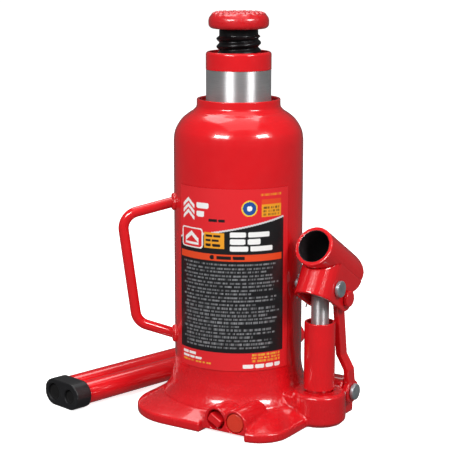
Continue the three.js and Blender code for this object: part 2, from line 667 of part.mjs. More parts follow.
function handleSocket() {
  const { y, z } = SOCKET_REAR_CENTRE;
  const rear = y + SOCKET_REAR_R;
  const sleeve = alongY(ring(SOCKET_BORE_R, SOCKET_R, SOCKET_MOUTH, rear)).translate([0, 0, SOCKET_HEIGHT]);
  const outline = [
    [SOCKET_MOUTH - OVERCUT, z - SOCKET_REAR_R], ...arcPoints([y, z], SOCKET_REAR_R, -90, 90, 13),
    [SOCKET_MOUTH - OVERCUT, z + SOCKET_REAR_R],
  ];
  return onLever(sleeve.intersect(sideways(outline, -FAR, FAR)));
}

function leverBracket() {
  const [pinY, pinZ] = linkPinOnLever();
  const plan = [
    [-CHEEK_OUTER, BRACKET_REACH], ...arcPoints([0, BRACKET_FRONT_CENTRE], CHEEK_OUTER, 180, 360, 15),
    [CHEEK_OUTER, BRACKET_REACH], [CHEEK_INNER, BRACKET_REACH],
    ...arcPoints([0, BRACKET_FRONT_CENTRE], CHEEK_INNER, 360, 180, 15), [-CHEEK_INNER, BRACKET_REACH],
  ];
  const rearR = pinZ - BRACKET_BOTTOM;
  const { y: endY, z: endZ } = SOCKET_REAR_CENTRE;
  const side = [
    [-BRACKET_REACH, BRACKET_BOTTOM], ...arcPoints([pinY, pinZ], rearR, -90, 30, 9),
    ...arcPoints([endY, endZ], SOCKET_REAR_R, -62, 0, 7), [-BRACKET_REACH, endZ],
  ];
  const clearance = alongY(rod(SOCKET_R + GAP, -FAR, FAR)).translate([0, 0, SOCKET_HEIGHT]);
  const pinHole = (y, z) => alongX(rod(PIN_HOLE_R, -FAR, FAR, ROUND_TINY)).translate([0, y, z]);
  const sheet = raised(plan, BRACKET_BOTTOM, BRACKET_REACH).intersect(sideways(side, -FAR, FAR));
  return onLever(sheet.subtract(clearance).subtract(pinHole(0, 0)).subtract(pinHole(pinY, pinZ)));
}

// Headed pin along X, its head on the outer side, with a cross hole for its cotter.
function headedPin(reach, centre) {
  const profile = [
    [0, -reach - PIN_TAIL], [PIN_R - 0.6, -reach - PIN_TAIL], [PIN_R, -reach - PIN_TAIL + 0.6],
    [PIN_R, reach + GAP],
    [PIN_HEAD_R, reach + GAP], [PIN_HEAD_R, reach + PIN_HEAD - 0.6], [PIN_HEAD_R - 0.8, reach + PIN_HEAD],
    [0, reach + PIN_HEAD],
  ];
  const crossHole = rod(COTTER_R + GAP + 0.1, -FAR, FAR, ROUND_TINY).translate([-reach - COTTER_INSET, 0, 0]);
  return alongX(turned(profile, ROUND_SMALL)).subtract(crossHole).translate([PUMP_X, centre.y, centre.z]);
}

// Cotter through the pin's cross hole, its long leg bent outwards; sense is -1 where the leg hangs.
function cotter(reach, centre, sense) {
  const curve = new THREE.CatmullRomCurve3(COTTER_LEG.map(([x, y, z]) => new THREE.Vector3(x, y, z * sense)));
  return bar(curve, COTTER_R, 10, 6).translate([PUMP_X - reach - COTTER_INSET, centre.y, centre.z]);
}

function link(side) {
  const along = new THREE.Vector2(LUG_PIN.y - LINK_PIN.y, LUG_PIN.z - LINK_PIN.z);
  const lean = THREE.MathUtils.radToDeg(along.angle());
  const across = new THREE.Vector2(-along.y, along.x).setLength(LINK_HALF_WIDTH);
  const upper = [LINK_PIN.y, LINK_PIN.z];
  const lower = [LUG_PIN.y, LUG_PIN.z];
  const strip = sideways([
    [upper[0] + across.x, upper[1] + across.y], [upper[0] - across.x, upper[1] - across.y],
    [lower[0] - across.x, lower[1] - across.y], [lower[0] + across.x, lower[1] + across.y],
  ], 0, FAR);
  const eye = (centre, radius, sides) => {
    const first = lean + 180 / sides;
    return sideways(arcPoints(centre, radius, first, first + 360 - 360 / sides, sides), 0, FAR);
  };
  const blank = strip.add(eye(upper, LINK_UPPER_END_R, 16)).add(eye(lower, LINK_LOWER_END_R, 8));
  const crank = frontways([
    [LINK_LOWER, 0], [LINK_LOWER + LINK_THICKNESS, 0], [LINK_LOWER + LINK_THICKNESS, LINK_CRANK_BOTTOM],
    [LINK_UPPER + LINK_THICKNESS, LINK_CRANK_TOP], [LINK_UPPER + LINK_THICKNESS, LINK_PIN.z + FAR],
    [LINK_UPPER, LINK_PIN.z + FAR], [LINK_UPPER, LINK_CRANK_TOP], [LINK_LOWER, LINK_CRANK_BOTTOM],
  ], -FAR, FAR);
  const holes = [LINK_PIN, LUG_PIN].map(({ y, z }) => (
    alongX(rod(PIN_HOLE_R, -FAR, FAR, ROUND_TINY)).translate([0, y, z])
  ));
  let plate = blank.intersect(crank).subtract(holes[0]).subtract(holes[1]);
  if (side < 0) {
    plate = plate.mirror([1, 0, 0]);
  }
  return plate.translate([PUMP_X, 0, 0]);
}

function releaseValveStem() {
  const [across, up] = RELEASE_TANG_HALF;
  const shaft = alongY(turned(RELEASE_STEM, ROUND_SMALL));
  const tang = block([-across, across], RELEASE_TANG_Y, [-up, up]).rotate([0, RELEASE_TANG_TURN, 0]);
  return shaft.add(tang).translate([RELEASE_X, 0, VALVE_Z]);
}

function releaseValveRing() {
  return alongY(ring(...RELEASE_RING, ROUND_SMALL)).translate([RELEASE_X, 0, VALVE_Z]);
}

function ball(x, y, z) {
  const half = arcPoints([0, 0], BALL_R, -90, 90, 9);
  const points = half.map(([radius, height]) => [Math.abs(radius) < WELD_TOLERANCE ? 0 : radius, height]);
  return turned(points, ROUND_TINY).translate([x, y, z]);
}

function safetyValveSpring() {
  const { radius, length, turns, wire, y } = SPRING;
  const points = Array.from({ length: turns * 8 + 1 }, (_, i) => {
    const angle = (i / 8) * Math.PI * 2;
    return new THREE.Vector3(radius * Math.cos(angle), radius * Math.sin(angle), (length * i) / (turns * 8));
  });
  const spring = bar(new THREE.CatmullRomCurve3(points), wire, turns * 10, 5);
  return alongY(spring).translate([SAFETY_X, y, VALVE_Z]);
}

function safetyValvePlug() {
  return alongY(turned(SAFETY_PLUG, ROUND_SMALL)).translate([SAFETY_X, 0, VALVE_Z]);
}

// From the handle set's own frame, level along X with the middle of the cap at zero, to the ground.
function inHandleSet(solid) {
  return solid.rotate([0, HANDLE_DROP, 0]).rotate([0, 0, HANDLE_HEADING])
    .translate([HANDLE_CAP_AT.x, HANDLE_CAP_AT.y, HANDLE_TUBE_R + CAP_WALL + 1.5 * GAP]);
}

function handleEndCap() {
  const outerR = HANDLE_TUBE_R + GAP + CAP_WALL;
  const half = HANDLE_SPACING / 2;
  const outline = [
    ...arcPoints([half, 0], outerR, -90, 90, 11),
    ...arcPoints([-half, 0], outerR, 90, 270, 11),
  ];
  const body = sideways(outline, -CAP_LENGTH / 2, CAP_LENGTH / 2);
  const hole = (y, radius, from, to) => alongX(rod(radius, from, to, ROUND_SMALL)).translate([0, y, 0]);
  const floor = CAP_LENGTH / 2 - CAP_SOCKET;
  const end = CAP_LENGTH / 2 + OVERCUT;
  return inHandleSet(body
    .subtract(hole(-half, HANDLE_TUBE_R + GAP, floor, end))
    .subtract(hole(half, HANDLE_TUBE_R + GAP, floor, end))
    .subtract(hole(-half, CAP_FRONT_HOLE_R, -end, floor - CAP_WEB))
    .subtract(hole(half, CAP_REAR_HOLE_R, -end, floor - CAP_WEB)));
}

function handleTube(side) {
  const start = CAP_LENGTH / 2 - CAP_SOCKET + GAP;
  const tube = ring(HANDLE_TUBE_BORE_R, HANDLE_TUBE_R, start, start + HANDLE_TUBE_LENGTH);
  return inHandleSet(alongX(tube).translate([0, (side * HANDLE_SPACING) / 2, 0]));
}

const group = new THREE.Group();
group.name = 'bottle_jack';

function place(name, finish, solid) {
  const { vertProperties, triVerts, numProp } = solid.getMesh();
  const geometry = new THREE.BufferGeometry();
  const positions = [];
  for (let i = 0; i < vertProperties.length; i += numProp) {
    positions.push(vertProperties[i], vertProperties[i + 1], vertProperties[i + 2]);
  }
  geometry.setAttribute('position', new THREE.Float32BufferAttribute(positions, 3));
  geometry.setIndex([...triVerts]);
  geometry.computeVertexNormals();
  const material = new THREE.MeshStandardMaterial(FINISH[finish]);
  material.name = finish;
  const mesh = new THREE.Mesh(geometry, material);
  mesh.name = name;
  group.add(mesh);
}

const LEVER_REACH = CHEEK_OUTER;
const LUG_REACH = LINK_LOWER + LINK_THICKNESS;

place('base', 'red_paint', base());
place('tank_shell', 'red_paint', tankShell());
place('inner_cylinder', 'turned_steel', innerCylinder());
place('cylinder_gasket', 'copper', cylinderGasket());
place('cylinder_gland', 'oiled_steel', cylinderGland());
place('ram_wiper_seal', 'black_rubber', ramWiperSeal());
place('carry_handle', 'red_paint', carryHandle());
place('tank_label', 'label_vinyl', tankLabel());
place('filler_plug', 'black_rubber', fillerPlug());
place('ram', 'ground_steel', ram());
place('ram_piston', 'turned_steel', ramPiston());
place('piston_cup_seal', 'urethane', pistonCupSeal());
place('piston_retaining_ring', 'spring_steel', pistonRetainingRing());
place('extension_screw', 'oiled_steel', extensionScrew());
place('screw_stop_ring', 'turned_steel', screwStopRing());
place('saddle', 'saddle_paint', saddle());
place('pump_cylinder', 'red_paint', pumpCylinder());
place('pump_wiper_seal', 'black_rubber', pumpWiperSeal());
place('pump_plunger', 'ground_steel', pumpPlunger());
place('plunger_seal', 'urethane', plungerSeal());
place('handle_socket', 'red_paint', handleSocket());
place('lever_bracket', 'red_paint', leverBracket());
place('plunger_pin', 'zinc_plate', headedPin(LEVER_REACH, PLUNGER_PIN));
place('plunger_pin_cotter', 'zinc_plate', cotter(LEVER_REACH, PLUNGER_PIN, -1));
place('link_pin', 'red_paint', headedPin(LEVER_REACH, LINK_PIN));
place('link_pin_cotter', 'zinc_plate', cotter(LEVER_REACH, LINK_PIN, -1));
place('link_right', 'red_paint', link(1));
place('link_left', 'red_paint', link(-1));
place('lug_pin', 'zinc_plate', headedPin(LUG_REACH, LUG_PIN));
place('lug_pin_cotter', 'zinc_plate', cotter(LUG_REACH, LUG_PIN, 1));
place('release_valve_stem', 'red_paint', releaseValveStem());
place('release_valve_o_ring', 'black_rubber', releaseValveRing());
place('release_ball', 'ground_steel', ball(RELEASE_X, RELEASE_BALL_Y, VALVE_Z));
place('safety_valve_plug', 'plug_paint', safetyValvePlug());
place('safety_valve_spring', 'spring_steel', safetyValveSpring());
place('safety_valve_ball', 'ground_steel', ball(SAFETY_X, SAFETY_BALL_Y, VALVE_Z));
place('discharge_ball', 'ground_steel', ball(DISCHARGE_X, 0, CHECK_BALL_Z));
place('suction_ball', 'ground_steel', ball(SUCTION_X, 0, CHECK_BALL_Z));
place('handle_end_cap', 'black_plastic', handleEndCap());
place('handle_tube_front', 'red_paint', handleTube(-1));
place('handle_tube_rear', 'red_paint', handleTube(1));

export default group;
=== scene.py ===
"""Hydraulic bottle jack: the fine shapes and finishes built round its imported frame.

Pieces are modelled in the frame's own place. Sizes are written in millimetres and turned to metres
as a mesh is made. Each sub-assembly is a class that builds its pieces and dresses them.
"""

import logging
import math
import random
from dataclasses import dataclass, field
from enum import Enum
from typing import Iterable, Optional, Sequence, Union

import bmesh
import bpy
import numpy as np
from mathutils import Matrix, Vector


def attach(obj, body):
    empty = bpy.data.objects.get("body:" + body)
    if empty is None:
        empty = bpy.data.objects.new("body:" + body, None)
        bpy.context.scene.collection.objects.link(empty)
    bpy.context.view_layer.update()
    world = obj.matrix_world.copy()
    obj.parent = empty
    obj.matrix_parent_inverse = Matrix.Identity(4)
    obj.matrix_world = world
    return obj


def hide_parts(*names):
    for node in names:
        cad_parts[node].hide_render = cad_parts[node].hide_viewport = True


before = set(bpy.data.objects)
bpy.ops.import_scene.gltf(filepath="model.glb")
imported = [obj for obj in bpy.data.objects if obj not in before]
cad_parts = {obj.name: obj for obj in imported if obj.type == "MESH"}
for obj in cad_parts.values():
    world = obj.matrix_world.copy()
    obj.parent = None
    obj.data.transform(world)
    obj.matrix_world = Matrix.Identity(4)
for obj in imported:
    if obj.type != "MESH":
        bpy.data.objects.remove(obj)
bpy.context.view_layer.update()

LOG = logging.getLogger("bottle_jack")
MM = 0.001
FULL_TURN = 2 * math.pi
ALONG_X = Matrix.Rotation(math.pi / 2, 4, "Y")
ALONG_Y = Matrix.Rotation(-math.pi / 2, 4, "X")
SHARP_ANGLE = math.radians(38)
FINE_STEPS = 192  # sides of the tank and the ram
ROUND_STEPS = 96  # sides of pump parts and tubes
SMALL_STEPS = 48  # sides of pins and plugs
FILM_RELIEF = 10  # how many times its named depth the enamel's ripple and cast grain are drawn
FINE_RELIEF = 5  # the same for tool marks and mould grain
SMOOTH_ANGLE = 60  # degrees; an edge sharper than this stays crisp
THREAD_SMOOTH_ANGLE = 50

Point2 = tuple[float, float]
Point3 = tuple[float, float, float]
Colour = tuple[float, float, float, float]


class Body(str, Enum):
    """The moving bodies of the jack, by their names in the frame."""

    JACK = "jack_body"
    RAM = "ram"
    SCREW = "screw"
    LINKS = "links"
    LEVER = "lever"
    PLUNGER = "plunger"
    RELEASE = "release_valve"
    CAP = "handle_cap"
    FRONT_TUBE = "handle_front"
    REAR_TUBE = "handle_rear"


class Grain(Enum):
    """The way the tool marks of a metal run."""

    ROUND_Z = (1.0, 1.0, 34.0)
    EVEN = (1.0, 1.0, 1.0)


def linear(hex_colour: str) -> Colour:
    """Turns an sRGB hex colour to linear light.

    Args:
        hex_colour: six hex digits with a leading #.

    Returns:
        Red, green, blue and an alpha of one.
    """
    channels = [int(hex_colour[i : i + 2], 16) / 255 for i in (1, 3, 5)]
    r, g, b = (c / 12.92 if c <= 0.04045 else ((c + 0.055) / 1.055) ** 2.4 for c in channels)
    return (r, g, b, 1.0)


def add_node(
    tree: bpy.types.NodeTree, kind: str, inputs: Optional[dict] = None, **settings: object
) -> bpy.types.Node:
    """Adds a node, sets its properties and fills its inputs.

    Args:
        tree: the tree that gets the node.
        kind: the node's type.
        inputs: a value or an output socket for each input, by name or number.
        **settings: the node's own properties.

    Returns:
        The new node.
    """
    node = tree.nodes.new(kind)
    for name, value in settings.items():
        setattr(node, name, value)
    for key, value in (inputs or {}).items():
        if isinstance(value, bpy.types.NodeSocket):
            tree.links.new(value, node.inputs[key])
        else:
            node.inputs[key].default_value = value
    return node


def per_mm(size: float) -> float:
    """Noise scale, in turns a metre, for a pattern whose features are size millimetres apart."""
    return 1 / (size * MM)


# ---------------------------------------------------------------------------------------------
# Finishes
# ---------------------------------------------------------------------------------------------


@dataclass(frozen=True)
class Finish:
    """What every finish has: a name and the shader's even values."""

    name: str
    colour: str

    def start(self, **even: float) -> tuple[bpy.types.Material, bpy.types.NodeTree, bpy.types.Node]:
        """Makes the material and its shader.

        Args:
            **even: values that are the same all over, by the shader's socket names.

        Returns:
            The material, its tree and its principled shader.
        """
        material = bpy.data.materials.new(self.name)
        material.use_nodes = True
        tree = material.node_tree
        shader = tree.nodes["Principled BSDF"]
        shader.inputs["Base Color"].default_value = linear(self.colour)
        for socket, value in even.items():
            shader.inputs[socket.replace("_", " ")].default_value = value
        material.diffuse_color = linear(self.colour)
        return material, tree, shader

    def build(self) -> bpy.types.Material:
        """Makes the finish."""
        raise NotImplementedError

    def material(self) -> bpy.types.Material:
        """The finish's material, made once."""
        return bpy.data.materials.get(self.name) or self.build()


@dataclass(frozen=True)
class SprayedEnamel(Finish):
    """Gloss alkyd enamel sprayed over steel or a sand casting.

    It has a clear wet gloss, a faint orange-peel ripple from the spray gun, and over a casting the
    sand's grain still shows through. The film is thinner and a little deeper in tone here and there.
    """

    shade: str = "#B3131C"
    peel_mm: float = 2.4
    peel_depth_mm: float = 0.012
    cast_mm: float = 0.0
    cast_depth_mm: float = 0.0
    gloss: tuple[float, float] = (0.16, 0.27)
    cloud_mm: float = 26.0
    haze_mm: float = 7.0

    def build(self) -> bpy.types.Material:
        """Makes the enamel."""
        material, tree, shader = self.start(Coat_Weight=1.0, Coat_Roughness=0.04, Coat_IOR=1.5)
        place = add_node(tree, "ShaderNodeTexCoord").outputs["Object"]
        cloud = add_node(
            tree,
            "ShaderNodeTexNoise",
            {"Vector": place, "Scale": per_mm(self.cloud_mm), "Detail": 3.0, "Roughness": 0.6},
        )
        film = add_node(
            tree,
            "ShaderNodeMapRange",
            {"Value": cloud.outputs["Fac"], "From Min": 0.35, "From Max": 0.75, "To Min": 0.0, "To Max": 0.3},
        )
        tone = add_node(
            tree,
            "ShaderNodeMix",
            {0: film.outputs["Result"], 6: linear(self.colour), 7: linear(self.shade)},
            data_type="RGBA",
        )
        tree.links.new(tone.outputs[2], shader.inputs["Base Color"])
        haze = add_node(
            tree, "ShaderNodeTexNoise", {"Vector": place, "Scale": per_mm(self.haze_mm), "Detail": 4.0}
        )
        gloss = add_node(
            tree,
            "ShaderNodeMapRange",
            {
                "Value": haze.outputs["Fac"],
                "From Min": 0.3,
                "From Max": 0.7,
                "To Min": self.gloss[0],
                "To Max": self.gloss[1],
            },
        )
        tree.links.new(gloss.outputs["Result"], shader.inputs["Roughness"])
        peel = add_node(
            tree, "ShaderNodeTexNoise", {"Vector": place, "Scale": per_mm(self.peel_mm), "Detail": 1.5}
        )
        ripple = add_node(
            tree,
            "ShaderNodeBump",
            {
                "Strength": 0.55,
                "Distance": self.peel_depth_mm * MM * FILM_RELIEF,
                "Height": peel.outputs["Fac"],
            },
        )
        surface = ripple
        if self.cast_mm:
            sand = add_node(
                tree,
                "ShaderNodeTexNoise",
                {"Vector": place, "Scale": per_mm(self.cast_mm), "Detail": 3.0, "Roughness": 0.55},
            )
            surface = add_node(
                tree,
                "ShaderNodeBump",
                {
                    "Strength": 0.8,
                    "Distance": self.cast_depth_mm * MM * FILM_RELIEF,
                    "Height": sand.outputs["Fac"],
                    "Normal": ripple.outputs["Normal"],
                },
            )
        tree.links.new(surface.outputs["Normal"], shader.inputs["Normal"])
        return material


@dataclass(frozen=True)
class WorkedSteel(Finish):
    """Bare or plated steel with the marks of the tool that finished it.

    The eye sees fine parallel lines that spread each highlight across them, and a slow drift in
    brightness. The lines are drawn about four times coarser than real grinding marks, so that they show.
    """

    dark: str = "#77797B"
    roughness: tuple[float, float] = (0.2, 0.34)
    grain: Grain = Grain.EVEN
    line_mm: float = 9.0
    depth_mm: float = 0.01
    anisotropy: float = 0.0
    across: float = 0.0  # turns between the lines and the way that a highlight spreads
    oil: float = 0.0
    metal: float = 1.0

    def build(self) -> bpy.types.Material:
        """Makes the steel."""
        material, tree, shader = self.start(
            Metallic=self.metal,
            Coat_Weight=self.oil,
            Coat_Roughness=0.18,
            Anisotropic=self.anisotropy,
            Anisotropic_Rotation=self.across,
        )
        place = add_node(tree, "ShaderNodeTexCoord").outputs["Object"]
        stretched = add_node(
            tree, "ShaderNodeMapping", {"Vector": place, "Scale": self.grain.value}
        )
        lines = add_node(
            tree,
            "ShaderNodeTexNoise",
            {
                "Vector": stretched.outputs["Vector"],
                "Scale": per_mm(self.line_mm),
                "Detail": 4.0,
                "Roughness": 0.7,
            },
        )
        drift = add_node(
            tree, "ShaderNodeTexNoise", {"Vector": place, "Scale": per_mm(15), "Detail": 2.0}
        )
        mixed = add_node(
            tree,
            "ShaderNodeMath",
            {0: lines.outputs["Fac"], 1: drift.outputs["Fac"]},
            operation="MULTIPLY",
        )
        share = add_node(
            tree,
            "ShaderNodeMapRange",
            {"Value": mixed.outputs["Value"], "From Min": 0.12, "From Max": 0.42},
        )
        tone = add_node(
            tree,
            "ShaderNodeMix",
            {0: share.outputs["Result"], 6: linear(self.dark), 7: linear(self.colour)},
            data_type="RGBA",
        )
        tree.links.new(tone.outputs[2], shader.inputs["Base Color"])
        rough = add_node(
            tree,
            "ShaderNodeMapRange",
            {
                "Value": lines.outputs["Fac"],
                "From Min": 0.3,
                "From Max": 0.7,
                "To Min": self.roughness[0],
                "To Max": self.roughness[1],
            },
        )
        tree.links.new(rough.outputs["Result"], shader.inputs["Roughness"])
        relief = add_node(
            tree,
            "ShaderNodeBump",
            {"Strength": 0.5, "Distance": self.depth_mm * MM * FINE_RELIEF, "Height": lines.outputs["Fac"]},
        )
        tree.links.new(relief.outputs["Normal"], shader.inputs["Normal"])
        if self.anisotropy:
            tangent = add_node(tree, "ShaderNodeTangent", direction_type="RADIAL", axis="Z")
            tree.links.new(tangent.outputs["Tangent"], shader.inputs["Tangent"])
        return material


@dataclass(frozen=True)
class MouldedPolymer(Finish):
    """Injection-moulded plastic or rubber with the mould's fine spark-eroded grain.

    The grain breaks every highlight into a soft sheen, with a few paler scuffs where the piece rubs.
    """

    scuff: str = "#5A5C5D"
    roughness: tuple[float, float] = (0.38, 0.52)
    grain_mm: float = 0.9
    grain_depth_mm: float = 0.02
    scuffing: float = 0.25

    def build(self) -> bpy.types.Material:
        """Makes the polymer."""
        material, tree, shader = self.start()
        place = add_node(tree, "ShaderNodeTexCoord").outputs["Object"]
        grain = add_node(
            tree, "ShaderNodeTexNoise", {"Vector": place, "Scale": per_mm(self.grain_mm), "Detail": 2.0}
        )
        rubbed = add_node(
            tree, "ShaderNodeTexNoise", {"Vector": place, "Scale": per_mm(6), "Detail": 6.0, "Roughness": 0.7}
        )
        amount = add_node(
            tree,
            "ShaderNodeMapRange",
            {
                "Value": rubbed.outputs["Fac"],
                "From Min": 0.52,
                "From Max": 0.78,
                "To Max": self.scuffing,
            },
        )
        tone = add_node(
            tree,
            "ShaderNodeMix",
            {0: amount.outputs["Result"], 6: linear(self.colour), 7: linear(self.scuff)},
            data_type="RGBA",
        )
        tree.links.new(tone.outputs[2], shader.inputs["Base Color"])
        rough = add_node(
            tree,
            "ShaderNodeMapRange",
            {"Value": rubbed.outputs["Fac"], "To Min": self.roughness[0], "To Max": self.roughness[1]},
        )
        tree.links.new(rough.outputs["Result"], shader.inputs["Roughness"])
        relief = add_node(
            tree,
            "ShaderNodeBump",
            {
                "Strength": 0.4,
                "Distance": self.grain_depth_mm * MM * FINE_RELIEF,
                "Height": grain.outputs["Fac"],
            },
        )
        tree.links.new(relief.outputs["Normal"], shader.inputs["Normal"])
        return material


@dataclass(frozen=True)
class PrintedVinyl(Finish):
    """Screen-printed vinyl film with a gloss overlay.

    The inks lie flat under a clear film, so the print is sharp and the sheen even, with the faint
    waviness of a film that was rubbed down by hand.
    """

    attribute: str = "print"

    def build(self) -> bpy.types.Material:
        """Makes the vinyl."""
        material, tree, shader = self.start(Coat_Weight=0.15, Coat_Roughness=0.2)
        inks = add_node(tree, "ShaderNodeAttribute", attribute_name=self.attribute)
        tree.links.new(inks.outputs["Color"], shader.inputs["Base Color"])
        along = add_node(tree, "ShaderNodeUVMap", uv_map="film").outputs["UV"]
        wave = add_node(
            tree, "ShaderNodeTexNoise", {"Vector": along, "Scale": 9.0, "Detail": 3.0}
        )
        rough = add_node(
            tree,
            "ShaderNodeMapRange",
            {"Value": wave.outputs["Fac"], "To Min": 0.26, "To Max": 0.42},
        )
        tree.links.new(rough.outputs["Result"], shader.inputs["Roughness"])
        relief = add_node(
            tree, "ShaderNodeBump", {"Strength": 0.25, "Distance": 0.06 * MM, "Height": wave.outputs["Fac"]}
        )
        tree.links.new(relief.outputs["Normal"], shader.inputs["Normal"])
        return material


@dataclass(frozen=True)
class StudioFloor(Finish):
    """Matt white paper sweep: clean, with the slightest tooth so that shadows lie softly on it."""

    glow: float = 0.8

    def build(self) -> bpy.types.Material:
        """Makes the paper."""
        material, tree, shader = self.start(Specular_IOR_Level=0.2, Emission_Strength=self.glow)
        place = add_node(tree, "ShaderNodeTexCoord").outputs["Object"]
        tooth = add_node(
            tree, "ShaderNodeTexNoise", {"Vector": place, "Scale": per_mm(3), "Detail": 2.0}
        )
        rough = add_node(
            tree,
            "ShaderNodeMapRange",
            {"Value": tooth.outputs["Fac"], "To Min": 0.7, "To Max": 0.85},
        )
        tree.links.new(rough.outputs["Result"], shader.inputs["Roughness"])
        return material


RED_SHEET_ENAMEL = SprayedEnamel("gloss_enamel_on_steel", "#DE151D", shade="#C4101A")
RED_CAST_ENAMEL = SprayedEnamel(
    "gloss_enamel_on_casting",
    "#DA131C",
    shade="#B90E18",
    peel_mm=3.2,
    peel_depth_mm=0.016,
    cast_mm=1.7,
    cast_depth_mm=0.02,
    gloss=(0.18, 0.32),
)
SADDLE_ENAMEL = SprayedEnamel(
    "gloss_enamel_on_forging",
    "#D1121B",
    shade="#A40D15",
    peel_mm=2.0,
    peel_depth_mm=0.02,
    cast_mm=1.1,
    cast_depth_mm=0.03,
    gloss=(0.2, 0.36),
)
PLUG_LACQUER = SprayedEnamel(
    "orange_tamper_lacquer", "#E5371C", shade="#C92A14", peel_mm=1.6, gloss=(0.34, 0.46)
)
GROUND_CHROME_STEEL = WorkedSteel(
    "centreless_ground_steel",
    "#EDEDEE",
    dark="#D2D2D3",
    roughness=(0.4, 0.47),
    grain=Grain.ROUND_Z,
    depth_mm=0.0008,
    anisotropy=0.92,
    across=0.25,
    metal=0.82,
)
TURNED_STEEL = WorkedSteel(
    "lathe_turned_steel", "#A2A4A6", dark="#6E7173", roughness=(0.3, 0.45), grain=Grain.ROUND_Z
)
BLACKENED_STEEL = WorkedSteel(
    "black_oxide_oiled_steel",
    "#2A2A2C",
    dark="#141415",
    roughness=(0.28, 0.42),
    grain=Grain.EVEN,
    line_mm=3.0,
    depth_mm=0.02,
    oil=0.3,
    metal=0.7,
)
ZINC_PLATE = WorkedSteel(
    "bright_zinc_plate",
    "#C9D2D6",
    dark="#98A3A8",
    roughness=(0.34, 0.5),
    line_mm=5.0,
    depth_mm=0.012,
    metal=0.75,
)
# bare steel for the socket's bore, drawn very dark as painted shade of the shade inside the tube
BORE_STEEL_AND_SHADE = WorkedSteel(
    "bare_bore_steel_painted_shade", "#3B3134", dark="#1D1618", roughness=(0.5, 0.66), line_mm=3.0, metal=0.35
)
DRAWN_WIRE = WorkedSteel(
    "drawn_spring_wire", "#8B8F92", dark="#55595C", roughness=(0.25, 0.4), line_mm=2.0
)
ANNEALED_COPPER = WorkedSteel(
    "annealed_copper_gasket", "#C07A4C", dark="#8A4F2C", roughness=(0.35, 0.5), line_mm=4.0
)
NITRILE_RUBBER = MouldedPolymer(
    "moulded_nitrile_rubber", "#1B1B1C", scuff="#3A3A3B", roughness=(0.6, 0.78), scuffing=0.2
)
CAST_URETHANE = MouldedPolymer(
    "cast_urethane_seal", "#B8995A", scuff="#8F7540", roughness=(0.4, 0.55), scuffing=0.3
)
GRAINED_POLYPROPYLENE = MouldedPolymer(
    "grained_polypropylene", "#1D1D1F", scuff="#4A4B4D", roughness=(0.34, 0.46), scuffing=0.18
)
# near-black matt plastic used only as painted shade on the faces inside the cap's holes
HOLE_SHADE_BLACK = MouldedPolymer(
    "painted_hole_shade_black", "#0E0C0D", scuff="#1A1718", roughness=(0.75, 0.9), scuffing=0.2
)
PRINTED_LABEL = PrintedVinyl("printed_vinyl_film", "#26272B")
PAPER_SWEEP = StudioFloor("white_paper_sweep", "#F4F4F3")

NODE_FINISHES: dict[str, Finish] = {
    "inner_cylinder": TURNED_STEEL,
    "cylinder_gasket": ANNEALED_COPPER,
    "cylinder_gland": BLACKENED_STEEL,
    "ram_piston": TURNED_STEEL,
    "piston_cup_seal": CAST_URETHANE,
    "piston_retaining_ring": DRAWN_WIRE,
    "screw_stop_ring": TURNED_STEEL,
    "plunger_seal": CAST_URETHANE,
    "release_valve_o_ring": NITRILE_RUBBER,
    "release_ball": GROUND_CHROME_STEEL,
    "safety_valve_ball": GROUND_CHROME_STEEL,
    "discharge_ball": GROUND_CHROME_STEEL,
    "suction_ball": GROUND_CHROME_STEEL,
}


# ---------------------------------------------------------------------------------------------
# Meshes
# ---------------------------------------------------------------------------------------------


def object_of(mesh: bpy.types.Mesh, name: str) -> bpy.types.Object:
    """Puts a mesh in the scene under a name, at the origin."""
    mesh.name = name
    made = bpy.data.objects.new(name, mesh)
    bpy.context.scene.collection.objects.link(made)
    return made


def shade_smooth(mesh: bpy.types.Mesh, angle: float = SHARP_ANGLE) -> None:
    """Shades a mesh smooth and keeps edges sharper than the angle crisp."""
    mesh.shade_smooth()
    mesh.set_sharp_from_angle(angle=angle)


def turn_outwards(mesh: bpy.types.Mesh) -> None:
    """Merges a closed mesh's doubles and turns its faces outwards."""
    work = bmesh.new()
    work.from_mesh(mesh)
    bmesh.ops.remove_doubles(work, verts=work.verts, dist=1e-7)
    bmesh.ops.recalc_face_normals(work, faces=work.faces)
    work.to_mesh(mesh)
    work.free()


def mesh_piece(
    name: str, points: Sequence[Sequence[float]], faces: Sequence[Sequence[int]], angle: float = SHARP_ANGLE
) -> bpy.types.Object:
    """Makes a closed piece.

    Args:
        name: the piece's name.
        points: its corners, in millimetres.
        faces: corner numbers of each face.
        angle: edges sharper than this stay crisp.

    Returns:
        The new object, in metres.
    """
    mesh = bpy.data.meshes.new(name)
    mesh.from_pydata([tuple(c * MM for c in point) for point in points], [], faces)
    turn_outwards(mesh)
    shade_smooth(mesh, angle)
    return object_of(mesh, name)


def rounded(profile: Sequence[Point2], radius: float, closed: bool = True, steps: int = 5) -> list[Point2]:
    """Rounds the corners of an outline.

    Args:
        profile: the outline's corners.
        radius: how far from each corner the rounding starts, at most.
        closed: False keeps the first and last corner as they are.
        steps: points in each rounding, less one.

    Returns:
        The outline with every corner drawn as a short curve.
    """
    corners = [Vector(point) for point in profile]
    count = len(corners)
    result: list[Point2] = []
    for i, corner in enumerate(corners):
        if not closed and i in (0, count - 1):
            result.append(tuple(corner))
            continue
        before, after = corners[i - 1] - corner, corners[(i + 1) % count] - corner
        reach = min(radius, 0.45 * before.length, 0.45 * after.length)
        start, end = corner + before.normalized() * reach, corner + after.normalized() * reach
        for step in range(steps + 1):
            t = step / steps
            result.append(tuple(start * (1 - t) ** 2 + corner * 2 * t * (1 - t) + end * t * t))
    return result


